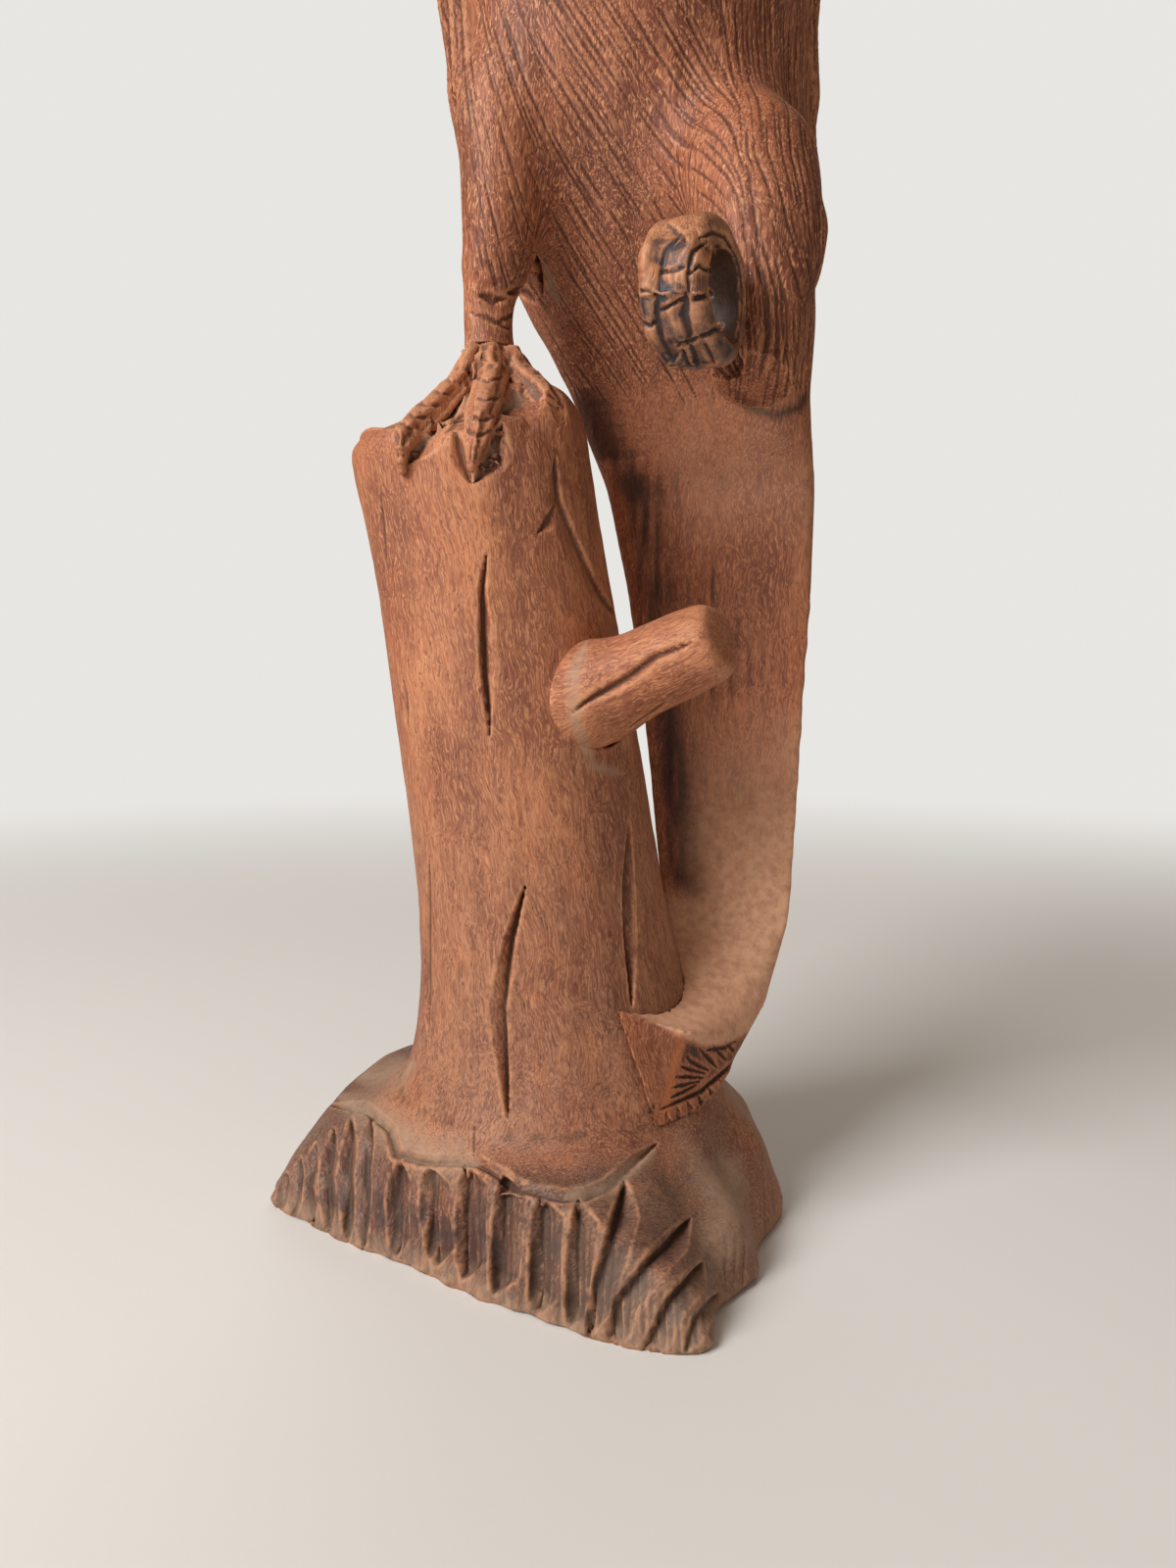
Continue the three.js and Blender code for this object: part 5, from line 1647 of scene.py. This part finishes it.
@dataclass
class PerchingFoot(Carving):
    """The foot that grips the stump, with creased toes and let-in claws."""

    rings: Marks = mark_rows(
        (((476, 347), (500, 350), (528, 347)), 0.9, 0.6, 0.1),
        (((484, 384), (498, 388), (513, 384)), 1.2, 0.6, 0.15, 0.5),
        (((484, 404), (498, 407), (512, 404)), 1.2, 0.6, 0.15, 0.5),
        (((478, 424), (492, 428), (506, 424)), 1.3, 0.7, 0.15, 0.5),
        (((475, 438), (489, 443), (503, 438)), 1.3, 0.8, 0.15, 0.5),
        (((455, 384), (461, 389), (467, 389)), 1.2, 0.6, 0.15, 0.5),
        (((441, 395), (448, 399), (457, 402)), 1.3, 0.7, 0.15, 0.5),
        (((425, 409), (436, 412), (449, 413)), 1.3, 0.7, 0.15, 0.5),
        (((416, 419), (425, 425), (436, 425)), 1.3, 0.7, 0.15, 0.5),
        (((404, 428), (413, 431), (423, 439)), 1.3, 0.7, 0.15, 0.5),
        (((545, 368), (552, 378), (551, 388)), 1.2, 0.4, 0.15),
    )
    shade: Marks = mark_rows(
        (((498, 444), (491, 466), (482, 490)), 4, 0, 0.3),
        (((419, 436), (415, 455), (410, 474)), 4, 0, 0.3),
    )
    middle_claw: tuple[tuple[float, float, float, float], ...] = (
        (171, -7.6, -11.0, 0.15), (174, -7.6, -10.8, 0.3), (178, -7.7, -10.4, 0.65), (182, -7.8, -9.8, 0.88),
        (187, -7.8, -8.9, 0.95), (193, -7.8, -8.1, 1), (198, -7.8, -7.8, 1),
    )
    left_claw: tuple[tuple[float, float, float, float], ...] = (
        (173, -25.4, -26.1, 0.2), (178, -25.6, -25.9, 0.5), (182, -25.6, -25.7, 0.75), (187, -25.6, -25.6, 1),
    )
    right_toe_depths: Table = ((-3, 0), (0, 1.5), (3, 2.4), (5, 3.6), (7, 5.5))
    collar_axis: tuple[float, float] = (-8.5 * MM, -2.5 * MM)

    def shape(self, skin: Skin) -> None:
        """Sets the toes down on the crown, points their claws, and smooths the collar under the ankle."""
        x, y, z = skin.points.T
        claw = smoothstep(-14 * MM, -20 * MM, x) * smoothstep(190 * MM, 174 * MM, z)
        depth = crown_depth(skin.points)
        skin.points[:, 2] -= depth + (ANKLE_DROP - depth) * smoothstep(205 * MM, 207.6 * MM, z)
        skin.points[:, 2] += depth * claw * (z < 200 * MM)
        claws = (
            (x < -14 * MM, self.left_claw),
            ((x > -14 * MM) & (x < -2 * MM), self.middle_claw),
        )
        for place, claw_axis in claws:
            x, y, z = skin.points.T
            heights, middles, axis, shares = np.array(claw_axis).T * MM
            old = np.interp(z, heights, middles)
            narrow = np.interp(z, heights, shares) / MM
            moved = np.interp(z, heights, axis) + (x - old) * narrow
            wanted = place & (y < -14 * MM) & (z < heights[-1]) & (np.abs(x - old) < 6 * MM)
            skin.points[:, 0] = np.where(wanted, moved, x)
        x, y, z = skin.points.T
        sunk = read_table(self.right_toe_depths, x / MM) * MM * (y < 2 * MM)
        skin.points[:, 2] -= sunk * smoothstep(204 * MM, 199 * MM, z)
        hidden = smoothstep(3 * MM, 6 * MM, x) * smoothstep(192 * MM, 187 * MM, z)
        skin.points[:, 1] += 5 * MM * hidden
        away = np.hypot(x - self.collar_axis[0], y - self.collar_axis[1])
        collar = smoothstep(195 * MM, 199 * MM, z) * smoothstep(11 * MM, 8 * MM, away)
        skin.fill_creases(collar * (z < 204 * MM), 60, 8)
        skin.points = skin.blur(skin.points, 60, 0.6 * collar * (skin.points[:, 2] < 203.8 * MM))
        x, y, z = skin.points.T
        away = np.hypot(x - self.collar_axis[0], y - self.collar_axis[1])
        collar = smoothstep(195 * MM, 199 * MM, z) * smoothstep(13 * MM, 9 * MM, away)
        pull = (
            (0.1 + 0.25 * smoothstep(204.5 * MM, 202.5 * MM, z)) * collar * smoothstep(-7 * MM, -12 * MM, x)
        )
        skin.points[:, 0] -= pull * (x - self.collar_axis[0])
        skin.refresh()

    def carve(self, skin: Skin) -> Array:
        """Cuts the creases of the toes."""
        thick = smoothstep(206 * MM, 198 * MM, skin.points[:, 2])
        skin.fill_creases(smoothstep(180 * MM, 190 * MM, skin.points[:, 2]), 40, 6)
        skin.push(0.9 * MM * thick + 0.2 * MM * noise(skin.points, 3.5 * MM, 61))
        planes = np.array(
            [(0, -0.25, 0.97), (-0.8, -0.3, 0.52), (0.8, -0.3, 0.52), (-0.5, -0.86, 0.1), (0.5, -0.86, 0.1)]
        )
        skin.push(-0.9 * MM * smoothstep(0.84, 1.0, (skin.normals @ planes.T).max(1)))
        cut_marks(skin, self.rings, 0.7)
        for mark in self.shade:
            skin.paint_shade(mark.cover(skin) ** 0.5)
        skin.cover(Layer.DUST, 0.3 * smoothstep(0.3, 0.9, skin.normals[:, 2]))
        x, y, _ = skin.points.T
        # painted shade on the right toe, whose front lies in shadow
        skin.paint_shade(0.8 * smoothstep(-3 * MM, 1 * MM, x) * (y < 2 * MM))
        return skin.points / MM


@dataclass
class ClenchedFoot(Carving):
    """The raised foot: three curled toes round a hollow, cracked into segments and stained."""

    hollow: tuple[float, float, float] = (34.5 * MM, -48 * MM, 203.8 * MM)
    hollow_turn: float = math.radians(24)
    hollow_radius: float = 7.8 * MM
    seams: Marks = mark_rows(
        (((697, 238), (680, 254), (674, 280), (673, 298)), 1.5, 0.5, 0.3),
        (((671, 300), (670, 322), (675, 348), (688, 370)), 1.7, 0.6, 0.2),
        (((722, 246), (708, 256), (702, 278), (703, 300)), 1.5, 0.5, 0.3),
        (((700, 298), (698, 322), (704, 342), (701, 352)), 2.2, 0.6, 0.2),
        (((704, 352), (709, 364), (712, 376)), 1.5, 0.6, 0.2),
    )
    crease: PhotoMark = PhotoMark(((712, 244), (728, 237), (741, 243), (747, 256)), 1.4 * MM, 0.8 * MM, 0.3)
    cracks: Marks = mark_rows(
        (((674, 278), (686, 276), (700, 272)), 1.0, 0.8, 0.1),
        (((673, 318), (688, 310), (699, 304)), 1.1, 1.0, 0.1),
        (((690, 354), (700, 350), (712, 345)), 1.3, 1.1, 0.1),
        (((702, 280), (714, 271), (728, 279)), 1.0, 0.8, 0.1),
        (((706, 306), (716, 304), (727, 298)), 1.5, 1.2, 0.1),
        (((713, 345), (724, 341), (737, 332)), 1.3, 1.1, 0.1),
        (((650, 297), (660, 296), (671, 301)), 1.1, 0.9, 0.1),
        (((655, 330), (663, 334), (671, 327)), 1.3, 1.0, 0.1),
        (((681, 374), (694, 378), (712, 376)), 1.6, 1.2, 0.2),
        (((718, 350), (724, 362), (729, 372)), 1.2, 0.9, 0.2),
        (((696, 356), (700, 368), (706, 378)), 1.2, 0.9, 0.2),
    )
    blue: Marks = mark_rows(
        (((688, 244), (685, 258), (681, 274)), 9.0, 0, 0.15),
        (((675, 284), (676, 312)), 2.5, 0, 0.2),
        (((684, 320), (690, 334), (698, 348)), 8.0, 0, 0.15),
        (((656, 304), (658, 320), (664, 330)), 6.5, 0, 0.15),
        (((672, 362), (690, 374), (715, 376)), 6.0, 0, 0.15),
        (((727, 352), (736, 358), (742, 350)), 5.0, 0, 0.2),
        (((655, 262), (653, 280)), 3.0, 0, 0.3),
        (((690, 288), (688, 300)), 5.0, 0, 0.3),
    )
    purple: Marks = mark_rows(
        (((715, 314), (720, 328), (714, 340)), 6.0, 0, 0.2),
        (((664, 345), (674, 360), (686, 368)), 6.0, 0, 0.2),
        (((712, 284), (714, 298)), 5.0, 0, 0.2),
    )
    bright: Marks = mark_rows(
        (((727, 252), (723, 268), (727, 276)), 3.0, 0, 0.3),
        (((655, 258), (652, 285)), 3.0, 0, 0.3),
        (((730, 290), (735, 320), (742, 338)), 1.6, 0, 0.2),
    )

    def shape(self, skin: Skin) -> None:
        """Flattens and rounds the foot, and opens its hollow on the far side."""
        offset = skin.points - np.array(self.hollow)
        way = np.array([math.cos(self.hollow_turn), -math.sin(self.hollow_turn), 0])
        back = np.array([math.sin(self.hollow_turn), math.cos(self.hollow_turn), 0])
        across = offset - (offset @ way)[:, None] * way
        away = np.linalg.norm(across, axis=1)
        out = across / away[:, None]
        self.inside = smoothstep(self.hollow_radius + 1.3 * MM, self.hollow_radius + 0.3 * MM, away)
        wider = (1.1 * MM + 2.4 * MM * smoothstep(0, 0.8, out @ back)) * smoothstep(14.5 * MM, 8.5 * MM, away)
        near = smoothstep(26 * MM, 18 * MM, np.linalg.norm(offset, axis=1))
        skin.points = skin.points + out * wider[:, None]
        skin.points[:, 2] -= 0.12 * near * offset[:, 2]
        skin.push((1 - self.inside) * (0.5 * MM + 0.25 * MM * noise(skin.points, 7 * MM, 72)))
        skin.points = skin.blur(skin.points, 40, 0.5 * (1 - self.inside))
        skin.refresh()

    def carve(self, skin: Skin) -> Array:
        """Rounds the toes, cracks them and stains them, and paints shade into their hollow."""
        skin.push((1 - self.inside) * 0.45 * MM * noise(skin.points, 4.5 * MM, 71))
        wide = [replace(mark, width=7.5 * MM, depth=1.1 * MM, taper=0.05) for mark in self.seams]
        cut_marks(skin, tuple(wide), 0.0)
        cut_marks(skin, self.seams, 0.3)
        cut_marks(skin, self.cracks, 1.0)
        cut_marks(skin, (self.crease,), 0.7)
        # painted shade inside the hollow of the curled toes
        skin.paint_shade(1.4 * self.inside)
        cover_marks(skin, self.blue, Layer.STAIN, 1.7)
        cover_marks(skin, self.purple, Layer.STAIN, 0.6)
        low = smoothstep(207 * MM, 194 * MM, skin.points[:, 2] + 3 * MM * noise(skin.points, 5 * MM, 73))
        skin.cover(Layer.STAIN, 0.6 * low)
        skin.layers[Layer.STAIN] = skin.layers[Layer.STAIN] * (1 - self.inside)
        cover_marks(skin, self.bright, Layer.RAW, 0.35)
        skin.layers[Layer.RAW] = skin.layers[Layer.RAW] * (1 - self.inside)
        behind = smoothstep(-30 * MM, -24 * MM, skin.points[:, 1])
        skin.cover(Layer.STAIN, 0.5 * behind)
        return skin.points[:, [1, 0, 2]] / MM


@dataclass
class Branch(Carving):
    """The short branch, with one long cut and a dusty joint round its root."""

    groove: Marks = mark_rows(
        (((583, 727), (600, 714), (640, 690), (668, 668), (706, 655)), 2.6, 1.6, 0.3, 0.5),
        (((640, 745), (662, 730), (680, 716)), 1.4, 0.5, 0.3),
    )
    root: Marks = mark_rows(
        (((600, 652), (584, 690), (586, 735), (608, 782)), 4, 0, 0.2),
    )

    def carve(self, skin: Skin) -> Array:
        """Cuts the groove, and turns the grain along the branch."""
        root = smoothstep(20 * MM, 12 * MM, skin.points[:, 0])
        skin.push(1.1 * MM * root + 0.25 * MM * noise(skin.points, (8 * MM, 8 * MM, 8 * MM), 81))
        cut_marks(skin, self.groove, 0.6)
        cover_marks(skin, self.root, Layer.DUST, 0.7)
        middle = skin.points.mean(0)
        way = np.linalg.svd(skin.points - middle, full_matrices=False)[2]
        return (skin.points - middle) @ way[[1, 2, 0]].T / MM


class Studio:
    """The plain floor, backdrop and lamps."""

    floor_colour: Colour = linear(226, 223, 218)
    wall_colour: Colour = linear(232, 230, 226)

    def build(self) -> None:
        """Adds everything that isn't part of the figurine."""
        self.add_floor()
        self.add_world()
        self.add_lamp("key", (-0.72, -0.6, 0.72), 0.6, 15.0)
        self.add_lamp("fill", (0.5, -0.8, 0.35), 0.8, 0.45)
        self.add_lamp("back", (0.1, 0.8, 0.7), 0.6, 2.0)

    def add_floor(self) -> None:
        """Adds the floor that the figurine stands on."""
        bpy.ops.object.select_all(action="DESELECT")
        bpy.ops.mesh.primitive_plane_add(size=1, location=(0, 1, 0))
        floor = bpy.context.object
        floor.name = "studio_floor"
        floor.scale = (14, 12, 1)
        bpy.ops.object.transform_apply(location=True, rotation=False, scale=True)
        material = bpy.data.materials.new("studio floor")
        material.use_nodes = True
        shader = material.node_tree.nodes["Principled BSDF"]
        shader.inputs["Base Color"].default_value = self.floor_colour
        shader.inputs["Roughness"].default_value = 0.9
        material.node_tree.links.new(
            self.fade(Ink(material.node_tree), shader),
            material.node_tree.nodes["Material Output"].inputs["Surface"],
        )
        floor.data.materials.append(material)

    def fade(self, ink: Ink, shader: bpy.types.Node) -> bpy.types.NodeSocket:
        """Lets the far floor meet the wall without a line."""
        place = ink.node("ShaderNodeTexCoord").outputs["Object"]
        distance = ink.node("ShaderNodeVectorMath", {0: place}, operation="LENGTH").outputs["Value"]
        far = ink.ramp(distance, 0.25, 0.95)
        seen = ink.math("MULTIPLY", far, ink.node("ShaderNodeLightPath").outputs["Is Camera Ray"])
        wall = ink.node("ShaderNodeEmission", {"Color": self.wall_colour})
        return ink.node("ShaderNodeMixShader", {0: seen, 1: shader.outputs[0], 2: wall.outputs[0]}).outputs[0]

    def add_world(self) -> None:
        """Makes a pale even world."""
        world = bpy.data.worlds.new("studio")
        world.use_nodes = True
        ink = Ink(world.node_tree)
        sky = world.node_tree.nodes["Background"]
        sky.inputs["Color"].default_value = (1.0, 0.8, 0.62, 1)
        sky.inputs["Strength"].default_value = 0.2
        wall = ink.node("ShaderNodeBackground", {"Color": self.wall_colour, "Strength": 1.0})
        seen = ink.node("ShaderNodeLightPath").outputs["Is Camera Ray"]
        mixed = ink.node("ShaderNodeMixShader", {0: seen, 1: sky.outputs[0], 2: wall.outputs[0]})
        world.node_tree.links.new(mixed.outputs[0], world.node_tree.nodes["World Output"].inputs["Surface"])
        bpy.context.scene.world = world

    def add_lamp(self, name: str, place: tuple[float, float, float], size: float, power: float) -> None:
        """Adds a soft lamp that points at the middle of the figurine."""
        data = bpy.data.lights.new(name, "AREA")
        data.size = size
        data.energy = power
        lamp = bpy.data.objects.new(name, data)
        lamp.location = place
        aim = Vector((0.01, 0, 0.16)) - Vector(place)
        lamp.rotation_euler = aim.to_track_quat("-Z", "Y").to_euler()
        bpy.context.scene.collection.objects.link(lamp)


def main() -> None:
    """Builds the figurine and the studio around it."""
    logging.basicConfig(level=logging.INFO, format="%(name)s: %(message)s")
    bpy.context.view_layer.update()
    bpy.context.scene.view_settings.view_transform = "Standard"
    PHOTO.add()
    shop = Workshop()
    Trunk(("stump", "root_base"), "carved_stump", 0.8 * MM, 0.25 * MM).make(shop)
    block = ("head", "body", "perch_leg", "raised_thigh", "tail", "tail_tip")
    Bird(block, "feathered_head", 0.85 * MM, 0.25 * MM).make(shop)
    for side in ("left", "right"):
        Wing((f"{side}_wing",), f"folded_{side}_wing", 0.75 * MM).make(shop)
    PerchingFoot(("perch_foot",), "gripping_foot", 0.4 * MM, rounds=12, finish="stump").make(shop)
    ClenchedFoot(
        ("clenched_foot",), "curled_toes", 0.42 * MM, rounds=16, finish="dark", slot=Slot.DARK
    ).make(shop)
    Branch(("branch_stub",), "cut_branch", 0.5 * MM, rounds=20, finish="stump").make(shop)
    for beak in ("upper_beak", "lower_beak"):
        Carving((beak,), f"carved_{beak}", 0.4 * MM, rounds=30, finish="dark", slot=Slot.DARK).make(shop)
    for side in ("left", "right"):
        Carving((f"{side}_eye",), f"inlaid_{side}_eye", 0.25 * MM, finish="eye", slot=Slot.EYE).make(shop)
    for node in sorted(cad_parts):
        if node.endswith("dowel") or "dowel_" in node:
            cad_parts[node].data.materials.clear()
            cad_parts[node].data.materials.append(shop.finishes["dowel"])
    Studio().build()


if __name__ == "__main__":
    main()
